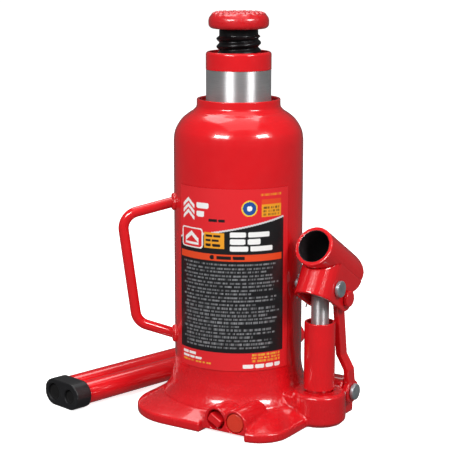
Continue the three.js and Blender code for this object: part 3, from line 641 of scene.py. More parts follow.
def flowing(points: Sequence[Point2], steps: int = 5) -> list[Point2]:
    """Draws a smooth curve through points, with so many steps between each two."""
    ends = [points[0], *points, points[-1]]
    result: list[Point2] = []
    for i in range(1, len(points)):
        a, b, c, d = (Vector(p) for p in ends[i - 1 : i + 3])
        for step in range(steps):
            t = step / steps
            result.append(
                tuple(
                    0.5
                    * (
                        2 * b
                        + (c - a) * t
                        + (2 * a - 5 * b + 4 * c - d) * t * t
                        + (3 * b - a - 3 * c + d) * t**3
                    )
                )
            )
    return [*result, tuple(points[-1])]


def turned(name: str, profile: Sequence[Point2], sides: int = ROUND_STEPS) -> bpy.types.Object:
    """Turns an outline of radius and height about Z, as a lathe does.

    Args:
        name: the piece's name.
        profile: the outline in millimetres, closed on itself or ending on the axis.
        sides: flats round the piece.

    Returns:
        The closed piece.
    """
    on_axis = [i for i, (radius, _) in enumerate(profile) if abs(radius) < 1e-9]
    points: list[Point3] = []
    rings: list[list[int]] = []
    for i, (radius, height) in enumerate(profile):
        if i in on_axis:
            rings.append([len(points)] * sides)
            points.append((0.0, 0.0, height))
            continue
        rings.append(list(range(len(points), len(points) + sides)))
        for side in range(sides):
            angle = FULL_TURN * side / sides
            points.append((radius * math.cos(angle), radius * math.sin(angle), height))
    pairs = list(zip(rings, rings[1:]))
    if not on_axis:
        pairs.append((rings[-1], rings[0]))
    faces = []
    for low, high in pairs:
        for side in range(sides):
            after = (side + 1) % sides
            corners = [low[side], low[after], high[after], high[side]]
            unique = list(dict.fromkeys(corners))
            if len(unique) > 2:
                faces.append(unique)
    return mesh_piece(name, points, faces)


def plate(
    name: str, outline: Sequence[Point2], holes: Iterable[Sequence[Point2]], thickness: float, bevel: float
) -> bpy.types.Object:
    """Cuts a flat plate with softened edges, centred on the XY plane.

    Args:
        name: the piece's name.
        outline: its edge, in millimetres.
        holes: the edge of each hole.
        thickness: of the plate.
        bevel: how much its edges are softened.

    Returns:
        The closed plate.
    """
    curve = bpy.data.curves.new(name, "CURVE")
    curve.dimensions = "2D"
    curve.fill_mode = "BOTH"
    curve.extrude = (thickness / 2 - bevel) * MM
    curve.bevel_depth = bevel * MM
    curve.bevel_resolution = 2
    curve.offset = -bevel * MM
    for loop in (outline, *holes):
        spline = curve.splines.new("POLY")
        spline.points.add(len(loop) - 1)
        for point, (x, y) in zip(spline.points, loop):
            point.co = (x * MM, y * MM, 0, 1)
        spline.use_cyclic_u = True
    drawn = object_of(curve, name + ".outline")
    mesh = bpy.data.meshes.new_from_object(drawn)
    bpy.data.objects.remove(drawn)
    turn_outwards(mesh)
    shade_smooth(mesh)
    return object_of(mesh, name)


def circle(radius: float, centre: Point2 = (0.0, 0.0), steps: int = SMALL_STEPS) -> list[Point2]:
    """Points round a circle."""
    turns = [FULL_TURN * i / steps for i in range(steps)]
    return [(centre[0] + radius * math.cos(a), centre[1] + radius * math.sin(a)) for a in turns]


def arc(centre: Point2, radius: float, start: float, end: float, steps: int) -> list[Point2]:
    """Points on a circle's arc.

    Args:
        centre: its centre.
        radius: its radius.
        start: the first angle, in degrees.
        end: the last angle, in degrees.
        steps: how many points, less one.

    Returns:
        The points in order.
    """
    angles = (math.radians(start + (end - start) * i / steps) for i in range(steps + 1))
    return [(centre[0] + radius * math.cos(a), centre[1] + radius * math.sin(a)) for a in angles]


def moved(piece: bpy.types.Object, *steps: Matrix) -> bpy.types.Object:
    """Applies placements to a piece's mesh, the first one first."""
    for step in steps:
        piece.data.transform(step)
    piece.data.update()
    return piece


def shift(x: float, y: float, z: float) -> Matrix:
    """A move in millimetres."""
    return Matrix.Translation(Vector((x, y, z)) * MM)


def softened(node: str, name: str, grid: float, rounds: int) -> bpy.types.Object:
    """Copies a frame node and rounds every edge of it, as a casting or a painted pressing has.

    Args:
        node: the frame node.
        name: the piece's name.
        grid: the remeshed surface's step, in millimetres.
        rounds: how often the surface is smoothed.

    Returns:
        The rounded copy.
    """
    copy = object_of(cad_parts[node].data.copy(), name + ".blank")
    copy.data.materials.clear()
    turn_outwards(copy.data)
    remesh = copy.modifiers.new("grid", "REMESH")
    remesh.mode = "VOXEL"
    remesh.voxel_size = grid * MM
    relax = copy.modifiers.new("relax", "SMOOTH")
    relax.factor = 0.5
    relax.iterations = rounds
    depsgraph = bpy.context.evaluated_depsgraph_get()
    mesh = bpy.data.meshes.new_from_object(copy.evaluated_get(depsgraph))
    bpy.data.objects.remove(copy)
    shade_smooth(mesh, math.radians(SMOOTH_ANGLE))
    return object_of(mesh, name)


# ---------------------------------------------------------------------------------------------
# Geometry trees
# ---------------------------------------------------------------------------------------------


def new_tree(
    name: str, lengths: dict[str, float]
) -> tuple[bpy.types.NodeTree, bpy.types.Node, bpy.types.Node]:
    """Starts a geometry tree with named inputs.

    Args:
        name: the tree's name.
        lengths: its number inputs and their usual values.

    Returns:
        The tree, its input node and its output node.
    """
    tree = bpy.data.node_groups.new(name, "GeometryNodeTree")
    tree.interface.new_socket("Geometry", in_out="INPUT", socket_type="NodeSocketGeometry")
    for label, value in lengths.items():
        socket = tree.interface.new_socket(label, in_out="INPUT", socket_type="NodeSocketFloat")
        socket.default_value = value
    tree.interface.new_socket("Finish", in_out="INPUT", socket_type="NodeSocketMaterial")
    tree.interface.new_socket("Geometry", in_out="OUTPUT", socket_type="NodeSocketGeometry")
    return tree, add_node(tree, "NodeGroupInput"), add_node(tree, "NodeGroupOutput")


def close_tree(
    tree: bpy.types.NodeTree, entry: bpy.types.Node, ending: bpy.types.Node, shape: bpy.types.NodeSocket
) -> bpy.types.NodeTree:
    """Ends a tree in real geometry that carries the finish.

    Args:
        tree: the tree.
        entry: its input node.
        ending: its output node.
        shape: what has been made.

    Returns:
        The same tree.
    """
    real = add_node(tree, "GeometryNodeRealizeInstances", {"Geometry": shape})
    smooth = add_node(tree, "GeometryNodeSetShadeSmooth", {"Geometry": real.outputs["Geometry"]})
    coated = add_node(
        tree,
        "GeometryNodeSetMaterial",
        {"Geometry": smooth.outputs["Geometry"], "Material": entry.outputs["Finish"]},
    )
    tree.links.new(coated.outputs["Geometry"], ending.inputs["Geometry"])
    return tree


def weld_tree() -> bpy.types.NodeTree:
    """A weld run: overlapping flattened drops, one a pitch, along a line. Its seed is fixed."""
    tree, entry, ending = new_tree("weld_run", {"Pitch": 0.0016, "Drop radius": 0.0017, "Variation": 0.12})
    line = add_node(tree, "GeometryNodeMeshToCurve", {"Mesh": entry.outputs["Geometry"]})
    spaced = add_node(
        tree,
        "GeometryNodeResampleCurve",
        {"Curve": line.outputs["Curve"], "Length": entry.outputs["Pitch"]},
        mode="LENGTH",
    )
    drop = add_node(
        tree, "GeometryNodeMeshIcoSphere", {"Radius": entry.outputs["Drop radius"], "Subdivisions": 3}
    )
    heading = add_node(tree, "GeometryNodeInputTangent")
    turn = add_node(
        tree, "FunctionNodeAlignEulerToVector", {"Vector": heading.outputs["Tangent"]}, axis="X"
    )
    least = add_node(
        tree, "ShaderNodeMath", {0: 1.0, 1: entry.outputs["Variation"]}, operation="SUBTRACT"
    )
    most = add_node(tree, "ShaderNodeMath", {0: 1.0, 1: entry.outputs["Variation"]}, operation="ADD")
    size = add_node(
        tree,
        "FunctionNodeRandomValue",
        {2: least.outputs["Value"], 3: most.outputs["Value"], "Seed": 11},
        data_type="FLOAT",
    )
    run = add_node(
        tree,
        "GeometryNodeInstanceOnPoints",
        {
            "Points": spaced.outputs["Curve"],
            "Instance": drop.outputs["Mesh"],
            "Rotation": turn.outputs["Rotation"],
            "Scale": size.outputs[1],
        },
    )
    return close_tree(tree, entry, ending, run.outputs["Instances"])


def rod_tree() -> bpy.types.NodeTree:
    """A round bar bent along a line, with round bends and closed ends."""
    tree, entry, ending = new_tree("bent_rod", {"Bar radius": 0.0034, "Bend radius": 0.016})
    line = add_node(tree, "GeometryNodeMeshToCurve", {"Mesh": entry.outputs["Geometry"]})
    bent = add_node(
        tree,
        "GeometryNodeFilletCurve",
        {
            "Curve": line.outputs["Curve"],
            "Radius": entry.outputs["Bend radius"],
            "Limit Radius": True,
            "Count": 18,
        },
        mode="POLY",
    )
    section = add_node(
        tree, "GeometryNodeCurvePrimitiveCircle", {"Resolution": 32, "Radius": entry.outputs["Bar radius"]}
    )
    skin = add_node(
        tree,
        "GeometryNodeCurveToMesh",
        {"Curve": bent.outputs["Curve"], "Profile Curve": section.outputs["Curve"], "Fill Caps": True},
    )
    return close_tree(tree, entry, ending, skin.outputs["Mesh"])


def spring_tree() -> bpy.types.NodeTree:
    """A coil spring wound from round wire."""
    tree, entry, ending = new_tree(
        "coil_spring", {"Turns": 4.0, "Coil radius": 0.0026, "Length": 0.013, "Wire radius": 0.0005}
    )
    helix = add_node(
        tree,
        "GeometryNodeCurveSpiral",
        {
            "Resolution": 32,
            "Rotations": entry.outputs["Turns"],
            "Start Radius": entry.outputs["Coil radius"],
            "End Radius": entry.outputs["Coil radius"],
            "Height": entry.outputs["Length"],
        },
    )
    section = add_node(
        tree, "GeometryNodeCurvePrimitiveCircle", {"Resolution": 12, "Radius": entry.outputs["Wire radius"]}
    )
    skin = add_node(
        tree,
        "GeometryNodeCurveToMesh",
        {"Curve": helix.outputs["Curve"], "Profile Curve": section.outputs["Curve"], "Fill Caps": True},
    )
    return close_tree(tree, entry, ending, skin.outputs["Mesh"])


def grown(
    name: str,
    tree: bpy.types.NodeTree,
    line: Sequence[Point3],
    finish: Finish,
    closed: bool = False,
    **values: float,
) -> bpy.types.Object:
    """Runs a geometry tree along a line and keeps the plain mesh.

    Args:
        name: the piece's name.
        tree: the geometry tree.
        line: the line's points, in millimetres.
        finish: what the piece is finished in.
        closed: whether the line joins up with its start.
        **values: the tree's inputs, by name with _ for a space, in metres.

    Returns:
        The baked piece, with no modifier on it.
    """
    mesh = bpy.data.meshes.new(name)
    edges = [(i, i + 1) for i in range(len(line) - 1)]
    if closed:
        edges.append((len(line) - 1, 0))
    mesh.from_pydata([tuple(c * MM for c in point) for point in line], edges, [])
    seed = object_of(mesh, name + ".seed")
    modifier = seed.modifiers.new("grow", "NODES")
    modifier.node_group = tree
    wanted: dict[str, Union[float, bpy.types.Material]] = {k.replace("_", " "): v for k, v in values.items()}
    wanted["Finish"] = finish.material()
    for item in tree.interface.items_tree:
        if item.in_out == "INPUT" and item.name in wanted:
            modifier[item.identifier] = wanted[item.name]
    depsgraph = bpy.context.evaluated_depsgraph_get()
    baked = bpy.data.meshes.new_from_object(seed.evaluated_get(depsgraph))
    bpy.data.objects.remove(seed)
    turn_outwards(baked)
    shade_smooth(baked)
    return object_of(baked, name)


# ---------------------------------------------------------------------------------------------
# Sub-assemblies
# ---------------------------------------------------------------------------------------------


class SubAssembly:
    """A group of pieces that is built and dressed together."""

    def build(self) -> None:
        """Builds and dresses every piece."""
        raise NotImplementedError

    def dress(
        self,
        piece: bpy.types.Object,
        finish: Finish,
        body: Body,
        slot: str,
        stands_for: Sequence[str] = (),
    ) -> bpy.types.Object:
        """Gives a piece its finish and body, and hides the frame nodes that it stands for.

        Args:
            piece: the finished piece.
            finish: its surface.
            body: the body that it moves with.
            slot: not used.
            stands_for: frame nodes that it takes the place of.

        Returns:
            The same piece.
        """
        piece.data.materials.clear()
        piece.data.materials.append(finish.material())
        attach(piece, body.value)
        if stands_for:
            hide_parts(*stands_for)
        LOG.info("%s: %d faces, rides on %s", piece.name, len(piece.data.polygons), body.value)
        return piece


@dataclass
class BaseCasting(SubAssembly):
    """The cast base: a square-footed flange with the tank's seat, the pump's boss and two valve bosses."""

    grid: float = 0.75
    rounding: int = 4
    seat_radius: float = 42.02
    flare: tuple[Point2, ...] = (
        (49.7, 10.6),
        (49.2, 12.1),
        (47.7, 14.0),
        (46.0, 16.6),
        (44.7, 19.7),
        (43.8, 23.0),
        (42.9, 26.6),
        (42.3, 30.4),
        (42.05, 33.6),
    )

    def build(self) -> None:
        """Builds the casting and the weld that holds the tank in it."""
        self.casting()
        self.tank_weld()

    def casting(self) -> None:
        """The casting, its edges rounded as the sand mould leaves them."""
        piece = softened("base", "base_casting", self.grid, self.rounding)
        self.dress(piece, RED_CAST_ENAMEL, Body.JACK, "red_paint", ["base"])

    def tank_weld(self) -> None:
        """The weld between the base's neck and the tank, dressed to one hollow flare and painted over."""
        outline = [(self.seat_radius, self.flare[0][1]), *flowing(self.flare, 6)]
        outline.append((self.seat_radius, self.flare[-1][1]))
        piece = turned("tank_foot_weld", outline, FINE_STEPS)
        self.dress(piece, RED_CAST_ENAMEL, Body.JACK, "red_paint")


@dataclass
class LabelPrint:
    """The artwork of the tank's label, drawn on a grid of points in millimetres.

    Everything that would be writing is drawn as plain blocks and bars.
    """

    width: float
    height: float
    step: float = 0.36
    seed: int = 5
    red: str = "#E3232A"
    black: str = "#1B1B1D"
    orange: str = "#E8481C"
    amber: str = "#F0A020"
    yellow: str = "#F6D23A"
    silver: str = "#D8D8DA"
    white: str = "#F5F5F3"
    grey: str = "#9A9C9F"
    blue: str = "#1E4E9C"
    field_right: float = 75.2
    field_bottom: float = 11.6
    field_left_top: float = 84.2
    field_slope: float = 0.199
    field_edge: float = 0.55  # half the width of the line along the field's top
    rng: random.Random = field(init=False)

    def __post_init__(self) -> None:
        """Lays out the grid."""
        self.columns = int(self.width / self.step)
        self.rows = int(self.height / self.step)
        across = np.linspace(0, self.width, self.columns + 1)
        up = np.linspace(0, self.height, self.rows + 1)
        self.u, self.v = np.meshgrid(across, up)
        self.ink = np.empty((*self.u.shape, 4))
        self.rng = random.Random(self.seed)

    def fill(self, where: np.ndarray, colour: str) -> None:
        """Prints one ink where a mask is true."""
        self.ink[where] = linear(colour)

    def bar(self, left: float, bottom: float, right: float, top: float, colour: str) -> None:
        """Prints a rectangle."""
        inside = (self.u >= left) & (self.u <= right) & (self.v >= bottom) & (self.v <= top)
        self.fill(inside, colour)

    def badge(self, centre: Point2, radius: float, colour: str) -> None:
        """Prints a disc."""
        self.fill(np.hypot(self.u - centre[0], self.v - centre[1]) <= radius, colour)

    def panel(self, left: float, bottom: float, right: float, top: float, corner: float, colour: str) -> None:
        """Prints a rectangle with round corners."""
        x = np.abs(self.u - (left + right) / 2) - ((right - left) / 2 - corner)
        y = np.abs(self.v - (bottom + top) / 2) - ((top - bottom) / 2 - corner)
        outside = np.hypot(np.maximum(x, 0), np.maximum(y, 0))
        self.fill((outside <= corner) & (np.maximum(x, y) <= corner), colour)

    def words(
        self, left: float, bottom: float, right: float, top: float, colour: str, wide: float
    ) -> None:
        """Prints a heading as a row of plain round-ended bars, one for each word.

        Args:
            left: where the row starts.
            bottom: the row's lower edge.
            right: where the row ends.
            top: the row's upper edge.
            colour: its ink.
            wide: the usual width of a bar.
        """
        corner = 0.25 * (top - bottom)
        gap = 0.45 * (top - bottom)
        start = left
        while start < right - 0.4 * wide:
            end = min(start + wide * self.rng.uniform(0.7, 1.3), right)
            self.panel(start, bottom, end, top, corner, colour)
            start = end + gap

    def chevron(self, centre: Point2, width: float, rise: float, thick: float, colour: str) -> None:
        """Prints a band bent upwards, the plain sign for lifting."""
        across = np.abs(self.u - centre[0])
        line = centre[1] + rise * (1 - 2 * across / width)
        self.fill((across <= width / 2) & (np.abs(self.v - line) <= thick / 2), colour)

    def small_print(self, left: float, level: float, right: float, tall: float, colour: str) -> None:
        """Prints a row of tiny words as specks of uneven tone.

        Args:
            left: where the row starts.
            level: the row's lower edge.
            right: where the row ends.
            tall: the height of the row.
            colour: its ink.
        """
        u = left
        while u < right:
            word = self.rng.uniform(1.6, 5.2)
            end = min(u + word, right)
            inside = (self.u >= u) & (self.u <= end) & (self.v >= level) & (self.v <= level + tall)
            speck = np.array([self.rng.uniform(0.05, 0.9) for _ in range(self.u.shape[1])])
            tone = np.broadcast_to(speck, self.u.shape)[inside][:, None]
            ink = np.array(linear(colour))
            self.ink[inside] = self.ink[inside] * (1 - tone) + ink * tone
            u = end + self.rng.uniform(0.6, 1.1)

    def draw(self) -> None:
        """Prints the whole label, the ground first."""
        self.fill(self.u >= 0, self.red)
        edge = self.field_left_top + (self.u - 1.0) * self.field_slope
        within = self.u <= self.field_right
        self.fill(within & (self.v >= self.field_bottom) & (self.v <= edge), self.black)
        self.fill((np.abs(self.v - edge) <= self.field_edge) & within, self.silver)
        self.top_marks()
        self.heading()
        self.warning()
        self.foot()

    def top_marks(self) -> None:
        """The marks on the red ground above the field."""
        for level in (97.4, 101.2, 105.0):
            self.chevron((8.6, level), 10.6, 4.4, 2.3, self.white)
        for level, right in ((104.6, 24.6), (99.2, 21.6)):
            self.words(15.8, level, right, level + 3.6, self.white, 9.0)
        self.words(24.6, 96.4, 35.6, 98.4, self.black, 5.0)
        self.badge((51.2, 105.4), 5.1, self.yellow)
        self.badge((51.2, 105.4), 4.3, self.blue)
        self.badge((51.2, 105.4), 1.7, self.white)
        self.bar(59.1, 99.7, 73.0, 110.9, self.amber)
        self.bar(59.1, 107.8, 73.0, 110.9, self.orange)
        for level in (104.9, 102.6, 100.5):
            self.small_print(60.2, level, 71.8, 1.5, self.black)
        self.small_print(58.4, 113.2, 73.0, 1.3, self.amber)

    def heading(self) -> None:
        """The boxes and heading rows at the head of the field."""
        self.panel(2.0, 78.4, 20.6, 91.6, 2.4, self.white)
        self.panel(2.9, 79.3, 19.7, 90.7, 1.8, self.red)
        self.chevron((11.3, 83.4), 11.6, 4.4, 2.9, self.white)
        self.bar(5.5, 80.7, 17.1, 82.0, self.white)
        self.bar(21.4, 79.6, 35.2, 89.6, self.amber)
        for level in (86.6, 83.7, 80.8):
            self.words(22.4, level, 34.2, level + 1.7, self.black, 4.6)
        for level, right in ((87.0, 68.4), (82.6, 62.2), (78.2, 72.1)):
            self.words(38.8, level, right, level + 3.3, self.white, 12.0)

    def warning(self) -> None:
        """The orange bar and the rows of small print below it."""
        self.bar(0.8, 71.6, 74.0, 76.1, self.orange)
        self.badge((27.0, 73.8), 1.5, self.black)
        self.words(30.0, 72.8, 50.0, 75.0, self.black, 9.0)
        level = 68.6
        row = 0
        while level > 13.6:
            indent = 6.4 if row % 3 else 4.2
            right = self.rng.uniform(44.0, 71.5) if row % 3 == 2 else self.rng.uniform(66.0, 72.0)
            self.small_print(indent, level, right, 1.15, self.grey)
            level -= 2.35
            row += 1

    def foot(self) -> None:
        """The rows on the red strip under the field."""
        self.words(2.6, 8.2, 17.0, 9.8, self.white, 5.0)
        self.words(2.6, 5.6, 21.0, 7.2, self.white, 5.0)
        self.small_print(2.6, 3.4, 27.0, 1.2, self.yellow)
        for level in (9.6, 7.6, 5.6):
            self.small_print(53.0, level, 73.0, 1.3, self.yellow)
        self.words(47.0, 1.8, 73.0, 4.1, self.white, 7.0)


@dataclass
class Tank(SubAssembly):
    """The welded oil tank with its neck, carry handle, label and filler plug."""

    radius: float = 42.0
    wall: float = 2.6
    foot: float = 22.3
    straight_top: float = 170.0
    shoulder: tuple[Point2, ...] = (
        (42.0, 176.0),
        (41.8, 181.3),
        (40.6, 186.5),
        (37.0, 192.4),
        (32.5, 196.3),
        (29.6, 198.2),
        (27.4, 200.6),
        (27.0, 203.0),
    )
    neck_rim: tuple[Point2, ...] = ((27.0, 203.0), (27.0, 206.0), (25.2, 206.0), (25.2, 198.0))
    shoulder_inside: tuple[Point2, ...] = (
        (25.2, 197.2),
        (30.6, 193.8),
        (35.0, 190.4),
        (38.0, 185.6),
        (39.2, 181.0),
        (39.4, 176.0),
    )
    handle_heading: float = 223.0
    handle_path: tuple[Point2, ...] = ((41.6, 139.77), (76.6, 131.4), (67.4, 60.2), (41.6, 51.02))
    rod_radius: float = 3.4
    bend_radius: float = 11.0
    weld_clearance: float = 0.5
    weld_lift: float = 0.25
    weld_points: int = 40
    weld_pitch: float = 1.35
    weld_drop_radius: float = 1.75
    film_inside: float = 0.3  # from the tank's wall to the label's back
    film_outside: float = 0.55
    label_from: float = -117.0
    label_to: float = -10.0
    label_bottom: float = 36.0
    label_top: float = 153.6
    filler_height: float = 158.0

    def build(self) -> None:
        """Builds the shell, the handle and its welds, the label and the plug."""
        self.shell()
        self.carry_handle()
        self.label()
        self.filler_plug()

    def shell(self) -> None:
        """The drawn shell with its domed shoulder and rolled neck."""
        shoulder = flowing(self.shoulder, 8)
        rim = rounded(self.neck_rim, 0.7, closed=False)
        inside = flowing(self.shoulder_inside)
        outline = [(self.radius, self.foot), (self.radius, self.straight_top), *shoulder, *rim[1:]]
        outline += [*inside, (self.radius - self.wall, self.foot)]
        piece = turned("tank_shell_drawn", outline, FINE_STEPS)
        self.dress(piece, RED_SHEET_ENAMEL, Body.JACK, "red_paint", ["tank_shell"])

    def on_tank(self, reach: float, across: float, height: float) -> Point3:
        """A point given by its reach from the axis in the handle's plane, its offset and its height."""
        turn = math.radians(self.handle_heading)
        x = reach * math.cos(turn) - across * math.sin(turn)
        y = reach * math.sin(turn) + across * math.cos(turn)
        return (x, y, height)

    def foot_weld(self, start: Point2, towards: Point2) -> list[Point3]:
        """The line where the rod meets the tank.

        Args:
            start: reach and height of the rod's end.
            towards: the next corner of the rod.

        Returns:
            Points round the joint.
        """
        run, rise = towards[0] - start[0], towards[1] - start[1]
        length = math.hypot(run, rise)
        run, rise = run / length, rise / length
        size = self.rod_radius + self.weld_clearance
        points = []
        for i in range(self.weld_points):
            angle = FULL_TURN * i / self.weld_points
            across, up = size * math.cos(angle), size * math.sin(angle)
            reach = math.sqrt((self.radius + self.weld_lift) ** 2 - across**2)
            along = (reach - start[0] + up * rise) / run
            points.append(self.on_tank(reach, across, start[1] + along * rise + up * run))
        return points

    def carry_handle(self) -> None:
        """The bent rod and a weld run round each foot of it."""
        line = [self.on_tank(reach, 0.0, height) for reach, height in self.handle_path]
        rod = grown(
            "carry_handle_rod",
            rod_tree(),
            line,
            RED_SHEET_ENAMEL,
            Bar_radius=self.rod_radius * MM,
            Bend_radius=self.bend_radius * MM,
        )
        self.dress(rod, RED_SHEET_ENAMEL, Body.JACK, "red_paint", ["carry_handle"])
        feet = {"upper": (0, 1), "lower": (3, 2)}
        tree = weld_tree()
        for name, (end, corner) in feet.items():
            start, towards = self.handle_path[end], self.handle_path[corner]
            weld = grown(
                f"carry_handle_weld_{name}",
                tree,
                self.foot_weld(start, towards),
                RED_SHEET_ENAMEL,
                closed=True,
                Pitch=self.weld_pitch * MM,
                Drop_radius=self.weld_drop_radius * MM,
            )
            self.dress(weld, RED_SHEET_ENAMEL, Body.JACK, "red_paint")

    def label(self) -> None:
        """The printed film, a thin closed strip wrapped on the tank, with its print as point colours."""
        inner, outer = self.radius + self.film_inside, self.radius + self.film_outside
        sweep = math.radians(self.label_to - self.label_from)
        art = LabelPrint(sweep * outer, self.label_top - self.label_bottom)
        art.draw()
        columns, rows = art.columns, art.rows
        points: list[Point3] = []
        for row in range(rows + 1):
            height = self.label_bottom + (self.label_top - self.label_bottom) * row / rows
            for column in range(columns + 1):
                angle = math.radians(self.label_from) + sweep * column / columns
                points.append((outer * math.cos(angle), outer * math.sin(angle), height))
        back = len(points)
        for height in (self.label_bottom, self.label_top):
            for column in range(columns + 1):
                angle = math.radians(self.label_from) + sweep * column / columns
                points.append((inner * math.cos(angle), inner * math.sin(angle), height))
        span = columns + 1
        faces: list[list[int]] = []
        for row in range(rows):
            for column in range(columns):
                a = row * span + column
                faces.append([a, a + 1, a + span + 1, a + span])
        low, high = back, back + span
        last = rows * span
        for column in range(columns):
            faces.append([low + column, high + column, high + column + 1, low + column + 1])
            faces.append([column, low + column, low + column + 1, column + 1])
            faces.append([last + column, last + column + 1, high + column + 1, high + column])
        for column in (0, columns):
            edge = [row * span + column for row in range(rows + 1)]
            faces.append([*edge, high + column, low + column])
        mesh = bpy.data.meshes.new("tank_label_film")
        mesh.from_pydata([tuple(c * MM for c in point) for point in points], [], faces)
        inks = mesh.color_attributes.new("print", "FLOAT_COLOR", "POINT")
        paper = np.tile(np.array(linear(art.black)), (2 * span, 1))
        inks.data.foreach_set("color", np.vstack([art.ink.reshape(-1, 4), paper]).ravel())
        film = mesh.uv_layers.new(name="film")
        across = np.append(art.u.ravel(), np.tile(art.u[0], 2)) / art.height
        up = np.append(art.v.ravel(), np.repeat([0.0, art.height], span)) / art.height
        corners = np.empty(len(mesh.loops), dtype=np.int32)
        mesh.loops.foreach_get("vertex_index", corners)
        film.data.foreach_set("uv", np.column_stack([across[corners], up[corners]]).ravel())
        work = bmesh.new()
        work.from_mesh(mesh)
        bmesh.ops.recalc_face_normals(work, faces=work.faces)
        work.to_mesh(mesh)
        work.free()
        shade_smooth(mesh)
        piece = object_of(mesh, "tank_label_film")
        self.dress(piece, PRINTED_LABEL, Body.JACK, "label_vinyl", ["tank_label"])

    def filler_plug(self) -> None:
        """The rubber plug at the back, with a domed head and a pull tab."""
        profile = [(0, 38.2), (3.9, 38.2), (4.6, 39.4), (4.6, 42.6), (7.6, 42.6), (7.3, 44.4), (5.2, 45.2)]
        outline = rounded([*profile, (2.6, 44.5), (0, 44.5)], 0.6, closed=False)
        piece = moved(
            turned("filler_plug_moulded", outline, SMALL_STEPS), ALONG_Y, shift(0, 0, self.filler_height)
        )
        self.dress(piece, NITRILE_RUBBER, Body.JACK, "black_rubber", ["filler_plug"])


@dataclass
class RamAndScrew(SubAssembly):
    """The ram with its painted head, the wiper, the extension screw and the saddle."""

    radius: float = 21.0
    band_bottom: float = 224.5
    top: float = 236.0
    pitch: float = 5.0
    root: float = 12.5
    crest: float = 14.35
    thread_bottom: float = 151.0
    thread_top: float = 246.2
    shank_top: float = 250.1
    crest_roundness: float = 0.75
    thread_start: float = 3.0  # height over which the thread grows from the shank
    thread_end: float = 1.2
    screw_step: float = 0.42
    screw_foot: tuple[Point2, ...] = ((12.65, 143.0), (12.65, 146.0), (11.6, 146.05), (11.6, 150.95))
    neck_step: float = 0.3
    thread_stop: float = 0.4  # below the shank's top
    peg_radius: float = 8.0
    peg_top: float = 255.5
    saddle_radius: float = 19.4
    saddle_bottom: float = 250.4
    saddle_top: float = 261.3
    stud_height: float = 1.1
    stud_pitch: float = 4.6
    stud_fade: float = 1.5  # below the saddle's face, where the studs die out
    stud_flatness: float = 1.5
    peg_hole: Point2 = (8.3, 5.4)  # radius and depth
    saddle_foot_radius: float = 14.0
    lower_rounding: float = 3.2
    upper_rounding: float = 5.0
    face_rings: int = 44
    pole_radius: float = 0.01

    def build(self) -> None:
        """Builds the ram, its head band, the wiper, the screw and the saddle."""
        self.ram()
        self.wiper()
        self.screw()
        self.saddle()

    def ram(self) -> None:
        """The ground ram and the enamelled band round its head."""
        tube = [(16.8, 53.3), (21.0, 53.3), (21.0, 224.55), (20.5, 224.55), (20.5, 211.9), (16.8, 211.9)]
        sleeve = turned("ram_ground_sleeve", rounded(tube, 0.4, steps=3), FINE_STEPS)
        self.dress(sleeve, GROUND_CHROME_STEEL, Body.RAM, "ground_steel", ["ram"])
        lip = self.radius + 0.12
        head = [
            (14.8, 212.0),
            (20.45, 212.0),
            (20.45, self.band_bottom),
            (lip, self.band_bottom + 0.25),
            *arc((lip - 1.9, self.top - 1.9), 1.9, 0.0, 80.0, 7),
            (18.9, self.top - 0.35),
            (18.9, 230.0),
            (14.8, 229.0),
        ]
        band = turned("ram_head_band", head, FINE_STEPS)
        self.dress(band, RED_SHEET_ENAMEL, Body.RAM, "red_paint")

    def wiper(self) -> None:
        """The rubber lip in the tank's neck."""
        profile = [(21.3, 201.3), (24.9, 201.3), (24.9, 202.6), (22.6, 203.0), (21.3, 204.4)]
        piece = turned("neck_wiper_lip", rounded(profile, 0.35, steps=3), FINE_STEPS)
        self.dress(piece, NITRILE_RUBBER, Body.JACK, "black_rubber", ["ram_wiper_seal"])

    def thread_radius(self, angle: float, height: float) -> float:
        """Radius of the screw's surface, a helix with round crests that runs out at both ends.

        Args:
            angle: round the axis, in radians.
            height: in millimetres.

        Returns:
            The radius in millimetres.
        """
        phase = (height - self.thread_bottom) / self.pitch - angle / FULL_TURN
        wave = (0.5 + 0.5 * math.cos(FULL_TURN * phase)) ** self.crest_roundness
        start = min(1.0, max(0.0, (height - self.thread_bottom) / self.thread_start))
        left = (self.thread_top - height) / self.thread_end + 0.5 - angle / FULL_TURN
        end = min(1.0, max(0.0, left))
        return self.root + (self.crest - self.root) * wave * start * end

    def screw(self) -> None:
        """The extension screw with a true helical thread, a plain shank and the saddle's peg."""
        sides, step = ROUND_STEPS, self.screw_step
        count = int((self.shank_top - self.thread_stop - self.thread_bottom) / step)
        levels = [self.thread_bottom + step * i for i in range(count + 1)]
        points: list[Point3] = [(0.0, 0.0, self.screw_foot[0][1])]
        for radius, height in self.screw_foot:
            points += [(x, y, height) for x, y in circle(radius, steps=sides)]
        for height in levels:
            for side in range(sides):
                angle = FULL_TURN * side / sides
                radius = self.thread_radius(angle, height)
                points.append((radius * math.cos(angle), radius * math.sin(angle), height))
        shoulder = (self.root - self.neck_step, self.shank_top)
        peg = ((self.peg_radius, self.shank_top), (self.peg_radius, self.peg_top))
        for radius, height in (shoulder, *peg):
            points += [(x, y, height) for x, y in circle(radius, steps=sides)]
        points.append((0.0, 0.0, self.peg_top))
        total = (len(points) - 2) // sides
        faces: list[list[int]] = []
        for side in range(sides):
            after = (side + 1) % sides
            faces.append([0, 1 + after, 1 + side])
            for ring in range(total - 1):
                low, high = 1 + ring * sides, 1 + (ring + 1) * sides
                faces.append([low + side, low + after, high + after, high + side])
            end = 1 + (total - 1) * sides
            faces.append([end + side, end + after, len(points) - 1])
        piece = mesh_piece("extension_screw_threaded", points, faces, math.radians(THREAD_SMOOTH_ANGLE))
        self.dress(piece, BLACKENED_STEEL, Body.SCREW, "oiled_steel", ["extension_screw"])

